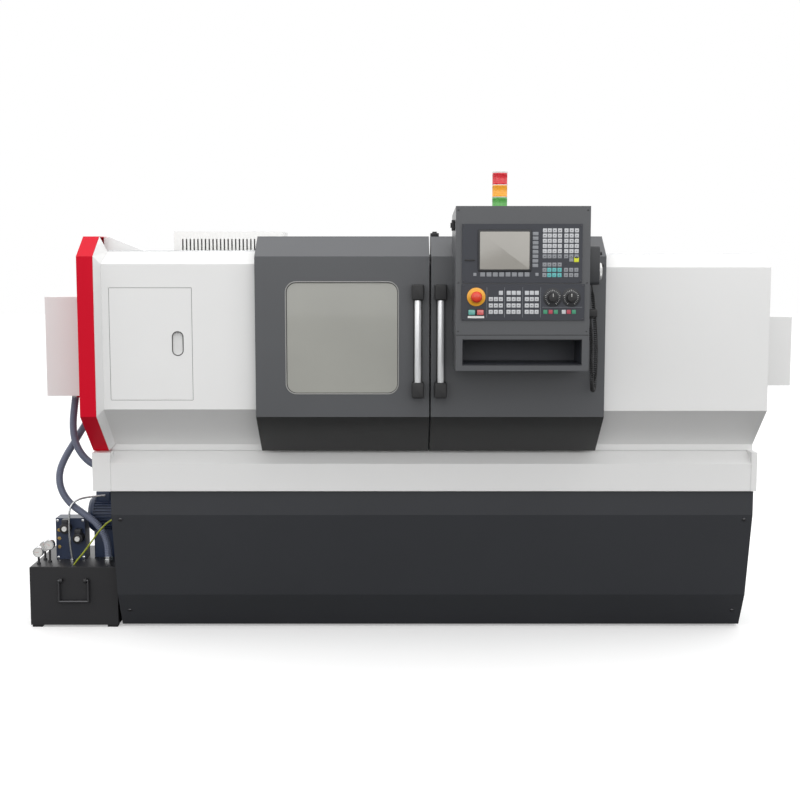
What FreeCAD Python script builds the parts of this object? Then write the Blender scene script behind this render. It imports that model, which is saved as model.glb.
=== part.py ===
"""CNC turning lathe: a flat-bed machine in a sheet-metal guard with two sliding doors.

Millimetres, +Z up, X along the spindle, the operator stands at -Y. The origin is on the
floor, under the middle of the machine's box. Every driving dimension is a cell of the
sheet "Dims"; a text such as "bed_top + slide_gap" is an expression in those cells.
"""
import FreeCAD, Part
import math
import os
import re
import Sketcher

V = FreeCAD.Vector
DOC = FreeCAD.newDocument("turning_lathe")
SHEET = DOC.addObject("Spreadsheet::Sheet", "Dims")
PROBE = DOC.addObject("App::FeaturePython", "Probe")
PROBE.addProperty("App::PropertyFloat", "number")

SIZES = {
    # the whole guard, along X
    "guard_left": -1215, "guard_right": 1357, "frame_width": 61, "sheet": 3,
    "door_split": 89, "door_gap": 6, "door_width": 645, "door_return": 30,
    "head_end": -520, "tail_start": 700, "guard_back": 380,
    # heights of the tray, the bed and the spindle line
    "tray_base": 586, "tray_top": 737, "bed_top": 915, "centre_height": 195, "spindle_y": -60,
    # section of the doors, front plane and folds
    "door_front": -480, "door_clear": 2, "door_low_rise": 156, "door_face": 595,
    "door_top_rise": 75, "door_top_depth": 120, "door_low_depth": 200,
    # section of the fixed covers
    "cover_front": -435, "cover_lip": 23, "head_low_rise": 158, "head_face": 544,
    "head_top_rise": 47, "head_top_depth": 125, "tail_low_rise": 153, "tail_face": 537,
    "tail_top_rise": 47, "tail_top_depth": 95, "cover_low_depth": 185,
    "wedge_front": -285, "wedge_depth": 60, "wedge_rise": 54, "wedge_flat": 25, "wedge_length": 163,
    # hanging rails of the doors
    "rail_front": -306, "rail_width": 12, "rail_height": 4, "hook_lead": 63, "running_gap": 0.05,
    "slide_gap": 0.3,
    # access door in the headstock cover
    "access_left": -1107, "access_width": 307, "access_low": 954, "access_height": 419,
    "access_thick": 2, "access_gap": 1.5,
    "pull_left": 234, "pull_width": 39, "pull_low": 168, "pull_height": 88,
    # window and handles
    "window_left": 112, "window_width": 420, "window_low": 85, "window_height": 418,
    "window_corner": 40, "pane_lap": 14, "pane_thick": 6, "handle_inset": 43,
    "handle_low": 1029, "handle_length": 301, "handle_radius": 12, "handle_reach": 50,
    "bracket_width": 45, "bracket_height": 58, "bracket_depth": 66,
    # tray, apron, base and feet
    "tray_left": -1212, "tray_right": 1358, "tray_cap_left": 70, "tray_cap_right": 22,
    "tray_front": -320, "tray_chamfer": 75, "tray_chamfer_rise": 44, "tray_back": 400,
    "tray_rim": 20, "tray_wall": 4, "apron_left": -1146, "apron_right": 1350,
    "apron_front": -308, "apron_gap": 4, "apron_fold_high": 490, "apron_fold_low": 152,
    "apron_low_y": -225, "apron_foot_y": -145, "apron_bottom": 10, "apron_wall": 4,
    "apron_lap": 60, "base_front": -125, "base_back": 330, "base_bottom": 40, "base_wall": 12,
    "foot_radius": 40, "foot_height": 14, "stud_radius": 10, "foot_inset": 130,
    "anchor_radius": 9, "anchor_inset": 45, "flange_width": 90,
    # bed, headstock and spindle train
    "bed_left": -1040, "bed_right": 1180, "way_front": -195, "way_width": 70, "way_height": 35,
    "way_back": 75, "bed_wall": 28, "bed_sole": 40, "bed_ribs": 6, "rib_thick": 22,
    "head_left": -1010, "head_length": 390, "head_front": -190, "head_back": 70,
    "head_above": 150, "bearing_outer": 75, "bearing_width": 34, "spindle_radius": 50,
    "spindle_bore": 27, "spindle_left": -1240, "nose_radius": 85, "nose_width": 20,
    "pulley_radius": 85, "pulley_width": 60, "pulley_left": -1130, "belt_width": 44,
    "belt_thick": 6, "chuck_radius": 100, "chuck_width": 90, "chuck_bore": 30, "jaw_width": 32,
    "jaw_height": 34, "jaw_length": 52, "jaw_at": 52, "slot_depth": 14, "cylinder_radius": 75,
    "cylinder_width": 140, "motor_y": 262, "motor_z": 900, "motor_radius": 100,
    "motor_left": -1055, "motor_length": 335, "stand_width": 170,
    # carriage, cross slide, tool turret and screw
    "saddle_left": -60, "saddle_length": 260, "saddle_thick": 40, "saddle_front": -250,
    "saddle_back": 110, "skirt_depth": 95, "skirt_thick": 52, "screw_y": -222, "screw_z": 858,
    "screw_radius": 16, "screw_left": -575, "screw_right": 1175, "bearing_block": 30,
    "slide_width": 190, "slide_thick": 42, "slide_front": -330, "slide_length": 250,
    "turret_y": -232, "turret_base_radius": 70, "turret_base": 18, "turret_half": 78,
    "turret_height": 92, "tool_width": 20, "tool_reach": 34, "z_motor_half": 55,
    "z_motor_length": 150,
    # tailstock
    "tail_left": 560, "tail_length": 280, "tail_half": 90, "tail_above": 75, "tail_shoe": 34,
    "tail_shoe_half": 130, "quill_radius": 35, "quill_out": 40, "quill_length": 300,
    "centre_shank": 15, "centre_shank_length": 80, "centre_radius": 28, "centre_body": 40,
    "centre_cone": 52, "centre_tip": 2,
    # boxes on both ends
    "cyl_cover_width": 187, "cyl_cover_low": 948, "cyl_cover_height": 386,
    "cyl_cover_front": -230, "cyl_cover_depth": 340, "hood_width": 157, "hood_low": 985,
    "hood_height": 270, "hood_front": -190, "hood_depth": 260, "passage_radius": 62,
    # electrical cabinet with its vent cowl
    "cabinet_left": -1150, "cabinet_width": 700, "cabinet_depth": 340, "cabinet_top": 1480,
    "cabinet_low": 30, "cabinet_wall": 3, "cabinet_lip": 24, "leaf_thick": 10, "leaf_gap": 2,
    "cowl_left": -1008, "cowl_width": 476, "cowl_front": 430, "cowl_depth": 240,
    "cowl_height": 120, "slot_first": 35, "slot_pitch": 16.5, "slot_wide": 6, "slot_low": 38,
    "slot_tall": 50, "slots": 25,
    # operator box, its screen unit, key panel and document pocket
    "box_left": 172, "box_width": 471, "box_low": 1214, "box_height": 450, "box_depth": 235,
    "box_wall": 3, "box_back": -400, "box_back_drop": 23, "box_lift": 1,
    "pocket_low": 1087, "pocket_height": 117, "pocket_rim": 25, "pocket_lip": 22,
    "pocket_deep": 190, "pocket_mouth": 88, "screen_inset": 22, "screen_width": 420,
    "screen_low": 183, "screen_height": 205, "panel_inset": 21, "panel_width": 431,
    "panel_low": 52, "panel_height": 127, "bezel": 6, "housing_inset": 10, "housing_deep": 60,
    "housing_gap": 1,
    "estop_x": 51, "estop_z": 82, "estop_radius": 20, "estop_reach": 35, "estop_shaft": 8,
    "estop_travel": 5, "knob_first": 319, "knob_pitch": 65, "knob_z": 80, "knob_radius": 17.5,
    "knob_height": 18, "knob_shaft": 4, "shaft_deep": 24, "start_x": 23, "button_pitch": 30,
    "button_z": 18, "button_width": 25, "button_height": 20, "button_stand": 6,
    "button_deep": 12, "button_play": 0.4,
    # signal lamp, hand pendant and its cord
    "lamp_x": 336, "lamp_y": -560, "lamp_radius": 28, "lamp_foot": 3, "lens_height": 43,
    "lens_gap": 0.5, "lamp_lenses": 3, "pendant_width": 47, "pendant_depth": 90,
    "pendant_y": -590, "pendant_low": 174, "pendant_height": 139, "wheel_radius": 31,
    "wheel_width": 20, "wheel_z": 48, "wheel_shaft": 5, "plug_radius": 9, "plug_length": 24,
    "plug_z": 1290, "curl_diameter": 12,
    # hydraulic unit
    "tank_left": -1514, "tank_length": 354, "tank_front": -160, "tank_depth": 400,
    "tank_low": 10, "tank_height": 236, "tank_wall": 4, "tank_foot": 40, "pump_left": -1311,
    "pump_length": 146, "pump_y": 60, "pump_radius": 75, "pump_top": 498, "pump_foot": 100,
    "terminal_length": 49, "terminal_height": 25, "valve_left": -1440, "valve_width": 120,
    "valve_front": -20, "valve_depth": 80, "valve_top": 420, "solenoid_radius": 21,
    "solenoid_reach": 40, "gauge_radius": 22, "gauge_thick": 26, "gauge_stem": 5,
    "bail_left": -1384, "bail_width": 97, "bail_drop": 86, "bail_pivot_z": 195,
    "bail_radius": 5, "bail_stand": 14, "lug_width": 10, "lug_half": 10,
    "hose_diameter": 30, "wire_diameter": 7,
}

# Values that follow from the driving dimensions; each is used in several pieces.
DERIVED = {
    "spindle_z": "bed_top + centre_height",
    "frame_right": "guard_left + frame_width",
    "left_door_right": "door_split - door_gap / 2",
    "left_door_left": "left_door_right - door_width",
    "right_door_left": "door_split + door_gap / 2",
    "right_door_right": "right_door_left + door_width",
    "door_bottom": "tray_top + door_clear",
    "door_low": "door_bottom + door_low_rise",
    "door_high": "door_low + door_face",
    "door_top": "door_high + door_top_rise",
    "door_top_y": "door_front + door_top_depth",
    "door_low_y": "door_front + door_low_depth",
    "cover_low_y": "cover_front + cover_low_depth",
    "head_low": "tray_top + cover_lip + head_low_rise",
    "head_high": "head_low + head_face",
    "head_roof": "head_high + head_top_rise",
    "tail_low": "tray_top + cover_lip + tail_low_rise",
    "tail_high": "tail_low + tail_face",
    "tail_roof": "tail_high + tail_top_rise",
    "window_x": "left_door_left + window_left",
    "window_z": "door_bottom + window_low + door_low_rise",
    "box_right": "box_left + box_width",
    "box_front": "door_front - box_depth",
    "box_top": "box_low + box_height",
    "pocket_z": "pocket_low + pocket_rim - 3",
    "screen_x": "box_left + screen_inset",
    "screen_z": "box_low + screen_low",
    "panel_x": "box_left + panel_inset",
    "panel_z": "box_low + panel_low",
    "panel_face": "box_front - bezel",
    "lug_y": "tank_front - bail_stand",
    "motor_face": "motor_left - slide_gap",
    "saddle_base": "bed_top + slide_gap",
    "slide_base": "saddle_base + saddle_thick + slide_gap",
    "post_base": "slide_base + slide_thick",
    "turret_z": "post_base + turret_base",
    "turret_x": "saddle_left + saddle_length / 2",
    "chuck_left": "head_left + head_length + nose_width + 6",
    "quill_tip": "tail_left - quill_out",
}
NAMES = re.compile(r"\b(" + "|".join(sorted(SIZES | DERIVED, key=len, reverse=True)) + r")\b")


def fill_sheet():
    """One row a size: its name in column A, the number in B under that name as alias."""
    for row, (name, number) in enumerate(SIZES.items(), start=1):
        SHEET.set(f"A{row}", "'" + name)
        SHEET.set(f"B{row}", str(number))
        SHEET.setAlias(f"B{row}", name)
    DOC.recompute()


def cells(text):
    """The expression with sheet names in full, and derived values worked out in brackets."""
    def full(found):
        name = found.group(1)
        return "Dims." + name if name in SIZES else "(" + cells(DERIVED[name]) + ")"
    return NAMES.sub(full, str(text))


def value(text):
    """The number that an expression in the sheet's names has now."""
    PROBE.setExpression("number", cells(text))
    PROBE.recompute()
    return PROBE.number


def bind(piece, **expressions):
    """Bind properties to expressions; x, y and z stand for the Placement's base."""
    for name, text in expressions.items():
        path = "Placement.Base." + name if name in "xyz" else name
        piece.setExpression(path, cells(text))
    return piece


def block(label, x, y, z):
    """A box between two places on each axis, each given as a pair of expressions."""
    piece = DOC.addObject("Part::Box", label)
    return bind(piece, x=x[0], y=y[0], z=z[0], Length=f"({x[1]}) - ({x[0]})",
                Width=f"({y[1]}) - ({y[0]})", Height=f"({z[1]}) - ({z[0]})")


TURNS = {"x": FreeCAD.Rotation(V(0, 1, 0), 90), "y": FreeCAD.Rotation(V(1, 0, 0), -90),
         "z": FreeCAD.Rotation()}


def rod(label, axis, span, centre, radius, tip=None):
    """A cylinder along an axis between two places; with a tip radius it is a cone."""
    kind = "Part::Cylinder" if tip is None else "Part::Cone"
    piece = DOC.addObject(kind, label)
    piece.Placement = FreeCAD.Placement(V(), TURNS[axis])
    others = [name for name in "xyz" if name != axis]
    bind(piece, Height=f"({span[1]}) - ({span[0]})")
    bind(piece, **{axis: span[0], others[0]: centre[0], others[1]: centre[1]})
    if tip is None:
        return bind(piece, Radius=radius)
    return bind(piece, Radius1=radius, Radius2=tip)


def cut(label, base, *tools):
    """The base without its tools."""
    piece = DOC.addObject("Part::Cut", label)
    piece.Base = base
    piece.Tool = tools[0] if len(tools) == 1 else join(label + "_tools", *tools)
    return piece


def join(label, *pieces):
    """Several shapes as one; shapes that don't touch stay separate solids."""
    piece = DOC.addObject("Part::MultiFuse", label)
    piece.Shapes = list(pieces)
    return piece


def outline(body, name, corners, offset, roles):
    """A closed sketch of straight sides on an origin plane, each corner bound to the sheet."""
    sketch = body.newObject("Sketcher::SketchObject", name)
    plane = [one for one in body.Origin.OriginFeatures if one.Role == roles + "_Plane"][0]
    sketch.AttachmentSupport = [(plane, "")]
    sketch.MapMode = "FlatFace"
    sketch.setExpression("AttachmentOffset.Base.z", cells(offset))
    points = [V(value(a), value(b), 0) for a, b in corners]
    for start, end in zip(points, points[1:] + points[:1]):
        sketch.addGeometry(Part.LineSegment(start, end), False)
    for index, corner in enumerate(corners):
        following = (index + 1) % len(corners)
        sketch.addConstraint(Sketcher.Constraint("Coincident", index, 2, following, 1))
        for kind, text in zip(("DistanceX", "DistanceY"), corner):
            place = Sketcher.Constraint(kind, -1, 1, index, 1, value(text))
            number = sketch.addConstraint(place)
            sketch.setExpression(f"Constraints[{number}]", cells(text))
    return sketch


def section(label, corners, span, pockets=(), roles="YZ"):
    """A body: a section padded along X between two places, less the pockets.

    Each pocket is (corners, (from, to)), a section taken out along X between two places.
    """
    body = DOC.addObject("PartDesign::Body", label)
    pad = body.newObject("PartDesign::Pad", label + "_pad")
    pad.Profile = outline(body, label + "_outline", corners, span[0], roles)
    pad.setExpression("Length", cells(f"({span[1]}) - ({span[0]})"))
    for number, (inner, reach) in enumerate(pockets, start=1):
        pocket = body.newObject("PartDesign::Pocket", f"{label}_pocket_{number}")
        pocket.Profile = outline(body, f"{label}_inside_{number}", inner, reach[0], roles)
        pocket.Reversed = True
        pocket.setExpression("Length", cells(f"({reach[1]}) - ({reach[0]})"))
    return body


def fold(front, low, high, roof, top_y, bottom, low_y, inset="0", beyond="0"):
    """Corners of a folded front, or of the line a given inset inside it.

    From the top fold's back edge down the front to the low fold's back edge. An inset line
    meets the front one inset further back, and its slopes lie an inset in, square to them.
    """
    top = f"atan(({roof} - ({high})) / ({top_y} - ({front})))"
    base = f"atan(({low} - ({bottom})) / ({low_y} - ({front})))"
    return [(f"{top_y} + {beyond}", f"{roof} + {beyond} * tan({top}) - {inset} / cos({top})"),
            (f"{front} + {inset}", f"{high} - {inset} * (1 - sin({top})) / cos({top})"),
            (f"{front} + {inset}", f"{low} + {inset} * (1 - sin({base})) / cos({base})"),
            (f"{low_y} + {beyond}", f"{bottom} - {beyond} * tan({base}) + {inset} / cos({base})")]


def door_fold(inset="0", beyond="0"):
    """The doors' folded front; the end frame has the same one."""
    return fold("door_front", "door_low", "door_high", "door_top", "door_top_y",
                "door_bottom", "door_low_y", inset, beyond)


def cover_fold(low, high, roof, top_depth, inset="0"):
    """A fixed cover's front with its roof and back, closed by the tray's top."""
    top_y = f"(cover_front + {top_depth})"
    lip = "(tray_top + cover_lip)"
    path = fold("cover_front", low, high, roof, top_y, lip, "cover_low_y", inset)
    path[0] = (path[0][0], f"{roof} - {inset}")
    back = f"guard_back - {inset}"
    floor = "tray_top" if inset == "0" else "tray_top - 1"
    lip_y = f"cover_low_y + {inset}"
    path[3] = (lip_y, f"{lip} + {inset} * 0.5")
    return [(back, f"{roof} - {inset}")] + path + [(lip_y, floor), (back, floor)]


fill_sheet()


def make_base():
    """Welded base with its anchor flanges, the dark apron, the feet and the white tray."""
    left, right = "apron_left + apron_wall", "apron_right - apron_wall"
    hull = block("base_hull", (left, right), ("base_front", "base_back"),
                 ("base_bottom", "tray_base"))
    room = block("base_room", (f"{left} + base_wall", f"{right} - base_wall"),
                 ("base_front + base_wall", "base_back - base_wall"),
                 ("base_bottom + base_wall", "tray_base - base_wall"))
    holes = []
    for side, x in (("left", f"{left} + anchor_inset"), ("right", f"{right} - anchor_inset")):
        for end, y in (("front", "base_front + anchor_inset"), ("back", "base_back - anchor_inset")):
            holes.append(rod(f"anchor_{side}_{end}", "z", ("base_bottom - 5", "base_bottom + 50"),
                             (x, y), "anchor_radius"))
    cut("machine_base", hull, room, *holes)

    feet = []
    spots = [f"{left} + foot_inset", f"({left} + {right}) / 2", f"{right} - foot_inset"]
    for column, x in enumerate(spots):
        for line, y in enumerate(("base_front + foot_inset / 2", "base_back - foot_inset / 2")):
            pad = rod(f"foot_pad_{column}{line}", "z", ("0", "foot_height"), (x, y), "foot_radius")
            stud = rod(f"foot_stud_{column}{line}", "z", ("foot_height / 2", "base_bottom"),
                       (x, y), "stud_radius")
            feet.append(join(f"foot_{column}{line}", pad, stud))
    join("levelling_feet", *feet)

    roof = "tray_base - apron_gap"
    lap = "base_front + apron_lap"
    outer = [(lap, roof), ("apron_front", roof), ("apron_front", "apron_fold_high"),
             ("apron_low_y", "apron_fold_low"), ("apron_foot_y", "apron_bottom"),
             (lap, "apron_bottom")]
    wall = "apron_wall"
    inner = [("base_front + apron_lap + 5", f"{roof} - {wall}"),
             ("apron_front + apron_wall", f"{roof} - {wall}"),
             ("apron_front + apron_wall", "apron_fold_high"),
             ("apron_low_y + apron_wall", "apron_fold_low + apron_wall / 2"),
             ("apron_foot_y + apron_wall", "apron_bottom + apron_wall"),
             ("base_front + apron_lap + 5", "apron_bottom + apron_wall")]
    shell = section("apron_shell", outer, ("apron_left", "apron_right"),
                    [(inner, (left, right))])
    space = block("apron_space", (left, right), ("base_front", f"{lap} + 5"),
                  ("apron_bottom - 5", f"{roof} + 5"))
    cut("front_apron", shell, space)

    pan_left, pan_right = "tray_left + tray_cap_left", "tray_right - tray_cap_right"
    wall = "tray_wall"
    edge = "tray_front + tray_chamfer"
    shoulder = "tray_top - tray_chamfer_rise"
    pan = section("tray_pan",
                  [("tray_back", "tray_base"), ("tray_front", "tray_base"),
                   ("tray_front", shoulder), (edge, "tray_top"), ("tray_back", "tray_top")],
                  (pan_left, pan_right),
                  [([(f"tray_back - {wall}", f"tray_base + {wall}"),
                     (f"tray_front + {wall}", f"tray_base + {wall}"),
                     (f"tray_front + {wall}", f"{shoulder} - {wall} / 2"),
                     (f"{edge} + {wall} / 2", f"tray_top - {wall}"),
                     (f"{edge} + tray_rim", f"tray_top - {wall}"),
                     (f"{edge} + tray_rim", "tray_top + 5"),
                     (f"tray_back - {wall}", "tray_top + 5")], (pan_left, pan_right))])
    caps = []
    for side, span in (("left", ("tray_left", pan_left)), ("right", (pan_right, "tray_right"))):
        box = block(f"tray_cap_{side}", span, ("tray_front - 2", "tray_back"),
                    ("tray_base", "tray_top"))
        room = block(f"tray_cap_{side}_room", (f"{span[0]} + {wall}", f"{span[1]} - {wall}"),
                     (f"tray_front + {wall}", f"tray_back - {wall}"),
                     ("tray_base - 1", f"tray_top - {wall}"))
        caps.append(cut(f"tray_cap_{side}_shell", box, room))
    join("bed_tray", pan, *caps)


def make_bed():
    """Cast bed with two flat ways, its ribs and the end bearings of the feed screw."""
    sole, neck = "tray_base + tray_wall", "bed_top - way_height"
    front, back = "way_front", "way_back"
    corners = [(f"{front} + 5", sole), (f"{front} + 5", f"{sole} + bed_sole"),
               (f"{front} + 20", f"{sole} + bed_sole + 15"), (f"{front} + 20", f"{neck} - 15"),
               (front, neck), (front, "bed_top"), (f"{front} + way_width", "bed_top"),
               (f"{front} + way_width", neck), (f"{front} + 20 + bed_wall", f"{neck} - 15"),
               (f"{front} + 20 + bed_wall", f"{sole} + bed_sole"),
               (f"{back} - 20 - bed_wall", f"{sole} + bed_sole"),
               (f"{back} - 20 - bed_wall", f"{neck} - 15"), (f"{back} - way_width", neck),
               (f"{back} - way_width", "bed_top"), (back, "bed_top"), (back, neck),
               (f"{back} - 20", f"{neck} - 15"), (f"{back} - 20", f"{sole} + bed_sole + 15"),
               (f"{back} - 5", f"{sole} + bed_sole"), (f"{back} - 5", sole)]
    beam = section("bed_beam", corners, ("bed_left", "bed_right"))
    parts = [beam]
    for number in range(int(SIZES["bed_ribs"])):
        share = f"(bed_right - bed_left - rib_thick) * {number} / (bed_ribs - 1)"
        parts.append(block(f"bed_rib_{number}", (f"bed_left + {share}", f"bed_left + {share} + rib_thick"),
                           (f"{front} + 30", f"{back} - 30"), (sole, f"{neck} - 30")))
    for end, x in (("left", "screw_left"), ("right", "screw_right - bearing_block")):
        parts.append(block(f"screw_bracket_{end}", (x, f"{x} + bearing_block"),
                           ("screw_y - 26", f"{front} + 30"), ("screw_z - 30", "screw_z + 22")))
    bore = rod("screw_bracket_bore", "x", ("screw_left - 5", "screw_right + 5"),
               ("screw_y", "screw_z"), "screw_radius + running_gap")
    cut("lathe_bed", join("bed_casting", *parts), bore)
    rod("z_screw", "x", ("screw_left", "screw_right + 5"), ("screw_y", "screw_z"), "screw_radius")
    face = "screw_right + 5 + slide_gap"
    case = block("z_motor_case", (f"{face} + 8", f"{face} + z_motor_length"),
                 ("screw_y - z_motor_half + 8", "screw_y + z_motor_half - 8"),
                 ("screw_z - z_motor_half + 8", "screw_z + z_motor_half - 8"))
    flange = block("z_motor_flange", (face, f"{face} + 8"),
                   ("screw_y - z_motor_half", "screw_y + z_motor_half"),
                   ("screw_z - z_motor_half", "screw_z + z_motor_half"))
    join("z_motor", case, flange)


def radial_block(label, x, half, rise, turn):
    """A block standing off the spindle line at a turn about it, given by its half width."""
    piece = DOC.addObject("Part::Box", label)
    piece.Placement = FreeCAD.Placement(V(), FreeCAD.Rotation(V(1, 0, 0), turn))
    y = f"spindle_y - ({half}) * cos({turn} deg) - ({rise[0]}) * sin({turn} deg)"
    z = f"spindle_z - ({half}) * sin({turn} deg) + ({rise[0]}) * cos({turn} deg)"
    return bind(piece, x=x[0], y=y, z=z, Length=f"({x[1]}) - ({x[0]})",
                Width=f"2 * ({half})", Height=f"({rise[1]}) - ({rise[0]})")


def make_headstock():
    """Headstock, bearings, hollow spindle with its pulley, chuck, jaws and chuck cylinder."""
    line = ("spindle_y", "spindle_z")
    right = "head_left + head_length"
    casting = block("head_casting", ("head_left", right), ("head_front", "head_back"),
                    ("bed_top", "spindle_z + head_above"))
    bore = rod("head_bore", "x", ("head_left - 5", f"{right} + 5"), line, "bearing_outer")
    cut("headstock", casting, bore)
    rings = []
    for end, x in (("rear", "head_left + 5"), ("front", f"{right} - 5 - bearing_width")):
        ring = rod(f"bearing_{end}_outer", "x", (x, f"{x} + bearing_width"), line, "bearing_outer")
        hole = rod(f"bearing_{end}_hole", "x", (f"{x} - 5", f"{x} + bearing_width + 5"), line,
                   "spindle_radius + running_gap")
        rings.append(cut(f"bearing_{end}", ring, hole))
    join("spindle_bearings", *rings)

    nose = f"{right} + nose_width"
    shaft = rod("spindle_shaft", "x", ("spindle_left", nose), line, "spindle_radius")
    flange = rod("spindle_nose", "x", (f"{right} + 2", nose), line, "nose_radius")
    pulley = rod("spindle_pulley", "x", ("pulley_left", "pulley_left + pulley_width"), line,
                 "pulley_radius")
    hollow = rod("spindle_hollow", "x", ("spindle_left - 5", f"{nose} + 5"), line, "spindle_bore")
    cut("spindle", join("spindle_solid", shaft, flange, pulley), hollow)

    chuck = rod("chuck_disc", "x", (nose, f"{nose} + chuck_width"), line, "chuck_radius")
    hole = rod("chuck_hole", "x", (f"{nose} - 5", f"{nose} + chuck_width + 5"), line, "chuck_bore")
    face = f"{nose} + chuck_width"
    slots = []
    for number in range(3):
        start = f"{face} - slot_depth"
        slots.append(radial_block(f"chuck_slot_{number + 1}", (start, f"{face} + 5"),
                                  "jaw_width / 2 + slide_gap",
                                  ("chuck_bore - 4", "chuck_radius + 5"), number * 120))
        start = f"{start} + slide_gap"
        radial_block(f"jaw_{number + 1}", (start, f"{start} + jaw_length"), "jaw_width / 2",
                     ("jaw_at", "jaw_at + jaw_height"), number * 120)
    cut("chuck_body", chuck, hole, *slots)

    cylinder = rod("cylinder_drum", "x", ("spindle_left - cylinder_width", "spindle_left"), line,
                   "cylinder_radius")
    hub = rod("cylinder_hub", "x", ("spindle_left - cylinder_width - 15", "spindle_left"), line,
              "cylinder_radius * 0.6")
    through = rod("cylinder_bore", "x", ("spindle_left - cylinder_width - 20", "spindle_left + 5"),
                  line, "spindle_bore")
    cut("rotary_cylinder", join("cylinder_solid", cylinder, hub), through)


def make_drive():
    """Main motor on its stand, its pulley, and the belt round both pulleys."""
    line = ("motor_y", "motor_z")
    barrel = rod("motor_barrel", "x", ("motor_left", "motor_left + motor_length"), line,
                 "motor_radius")
    stand = block("motor_stand", ("motor_left + 30", "motor_left + motor_length - 30"),
                  ("motor_y - stand_width / 2", "motor_y + stand_width / 2"),
                  ("tray_base + tray_wall", "motor_z - motor_radius * 0.5"))
    join("main_motor", barrel, stand)
    shaft = rod("motor_shaft", "x", ("pulley_left", "motor_face"), line, "spindle_bore")
    wheel = rod("motor_wheel", "x", ("pulley_left", "pulley_left + pulley_width"), line,
                "pulley_radius")
    join("motor_pulley", shaft, wheel)

    top = V(0, value("spindle_y"), value("spindle_z"))
    low = V(0, value("motor_y"), value("motor_z"))
    side = (low - top).cross(V(1, 0, 0)).normalize()
    along = (low - top).normalize()

    def loop(radius):
        """Two half circles and the straight runs between them."""
        edges = [Part.LineSegment(top + side * radius, low + side * radius).toShape(),
                 Part.Arc(low + side * radius, low + along * radius, low - side * radius).toShape(),
                 Part.LineSegment(low - side * radius, top - side * radius).toShape(),
                 Part.Arc(top - side * radius, top - along * radius, top + side * radius).toShape()]
        return Part.Face(Part.Wire(edges))
    inner = value("pulley_radius + slide_gap")
    band = loop(inner + value("belt_thick")).cut(loop(inner))
    belt = DOC.addObject("Part::Feature", "drive_belt")
    belt.Shape = band.Faces[0].extrude(V(value("belt_width"), 0, 0))
    belt.Placement.Base = V(value("pulley_left + pulley_width / 2 - belt_width / 2"), 0, 0)


def make_carriage():
    """Saddle with its skirt, cross slide with its post, and the tool turret."""
    right = "saddle_left + saddle_length"
    plate = block("saddle_plate", ("saddle_left", right), ("saddle_front", "saddle_back"),
                  ("saddle_base", "saddle_base + saddle_thick"))
    skirt = block("saddle_skirt", ("saddle_left + 20", f"{right} - 20"),
                  ("saddle_front", "saddle_front + skirt_thick"),
                  ("saddle_base - skirt_depth", "saddle_base + 10"))
    nut = rod("saddle_nut", "x", ("saddle_left", f"{right}"), ("screw_y", "screw_z"),
              "screw_radius + slide_gap")
    cut("saddle", join("saddle_casting", plate, skirt), nut)
    middle = "turret_x"
    slide = block("slide_plate", (f"{middle} - slide_width / 2", f"{middle} + slide_width / 2"),
                  ("slide_front", "slide_front + slide_length"), ("slide_base", "post_base"))
    post = rod("slide_post", "z", ("post_base - 5", "turret_z - slide_gap"),
               (middle, "turret_y"), "turret_base_radius")
    join("cross_slide", slide, post)
    head = block("turret_block", (f"{middle} - turret_half", f"{middle} + turret_half"),
                 ("turret_y - turret_half", "turret_y + turret_half"),
                 ("turret_z", "turret_z + turret_height"))
    parts = [head]
    low = "turret_z + turret_height * 0.6"
    for name, x, y in (("front", f"{middle} + turret_half * 0.4", "turret_y - turret_half"),
                       ("back", f"{middle} - turret_half * 0.4", "turret_y + turret_half")):
        parts.append(block(f"tool_{name}", (f"{x} - tool_width / 2", f"{x} + tool_width / 2"),
                           (f"{y} - tool_reach", f"{y} + tool_reach"), (low, f"{low} + tool_width")))
    for name, x, y in (("left", f"{middle} - turret_half", "turret_y - turret_half * 0.4"),
                       ("right", f"{middle} + turret_half", "turret_y + turret_half * 0.4")):
        parts.append(block(f"tool_{name}", (f"{x} - tool_reach", f"{x} + tool_reach"),
                           (f"{y} - tool_width / 2", f"{y} + tool_width / 2"), (low, f"{low} + tool_width")))
    join("turret_head", *parts)


def make_tailstock():
    """Tailstock on the ways, its quill and the live centre."""
    line = ("spindle_y", "spindle_z")
    right = "tail_left + tail_length"
    shoe = block("tail_shoe", ("tail_left", right),
                 ("spindle_y - tail_shoe_half", "spindle_y + tail_shoe_half"),
                 ("saddle_base", "saddle_base + tail_shoe"))
    tower = block("tail_tower", ("tail_left + 10", right),
                  ("spindle_y - tail_half", "spindle_y + tail_half"),
                  ("saddle_base + tail_shoe / 2", "spindle_z + tail_above"))
    barrel = rod("tail_barrel", "x", ("tail_left - 10", f"{right} + 20"), line,
                 "quill_radius + running_gap")
    cut("tailstock_body", join("tail_casting", shoe, tower), barrel)
    bar = rod("quill_bar", "x", ("quill_tip", "quill_tip + quill_length"), line, "quill_radius")
    socket = rod("quill_socket", "x", ("quill_tip - 5", "quill_tip + centre_shank_length + 5"),
                 line, "centre_shank + running_gap")
    cut("quill", bar, socket)
    face = "quill_tip - slide_gap"
    shank = rod("centre_shaft", "x", (f"{face} - 5", "quill_tip + centre_shank_length"), line,
                "centre_shank")
    body = rod("centre_drum", "x", (f"{face} - centre_body", face), line, "centre_radius")
    cone = rod("centre_cone_end", "x", (f"{face} - centre_body - centre_cone", f"{face} - centre_body"),
               line, "centre_tip", "centre_radius * 0.8")
    join("live_centre", shank, body, cone)


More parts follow.
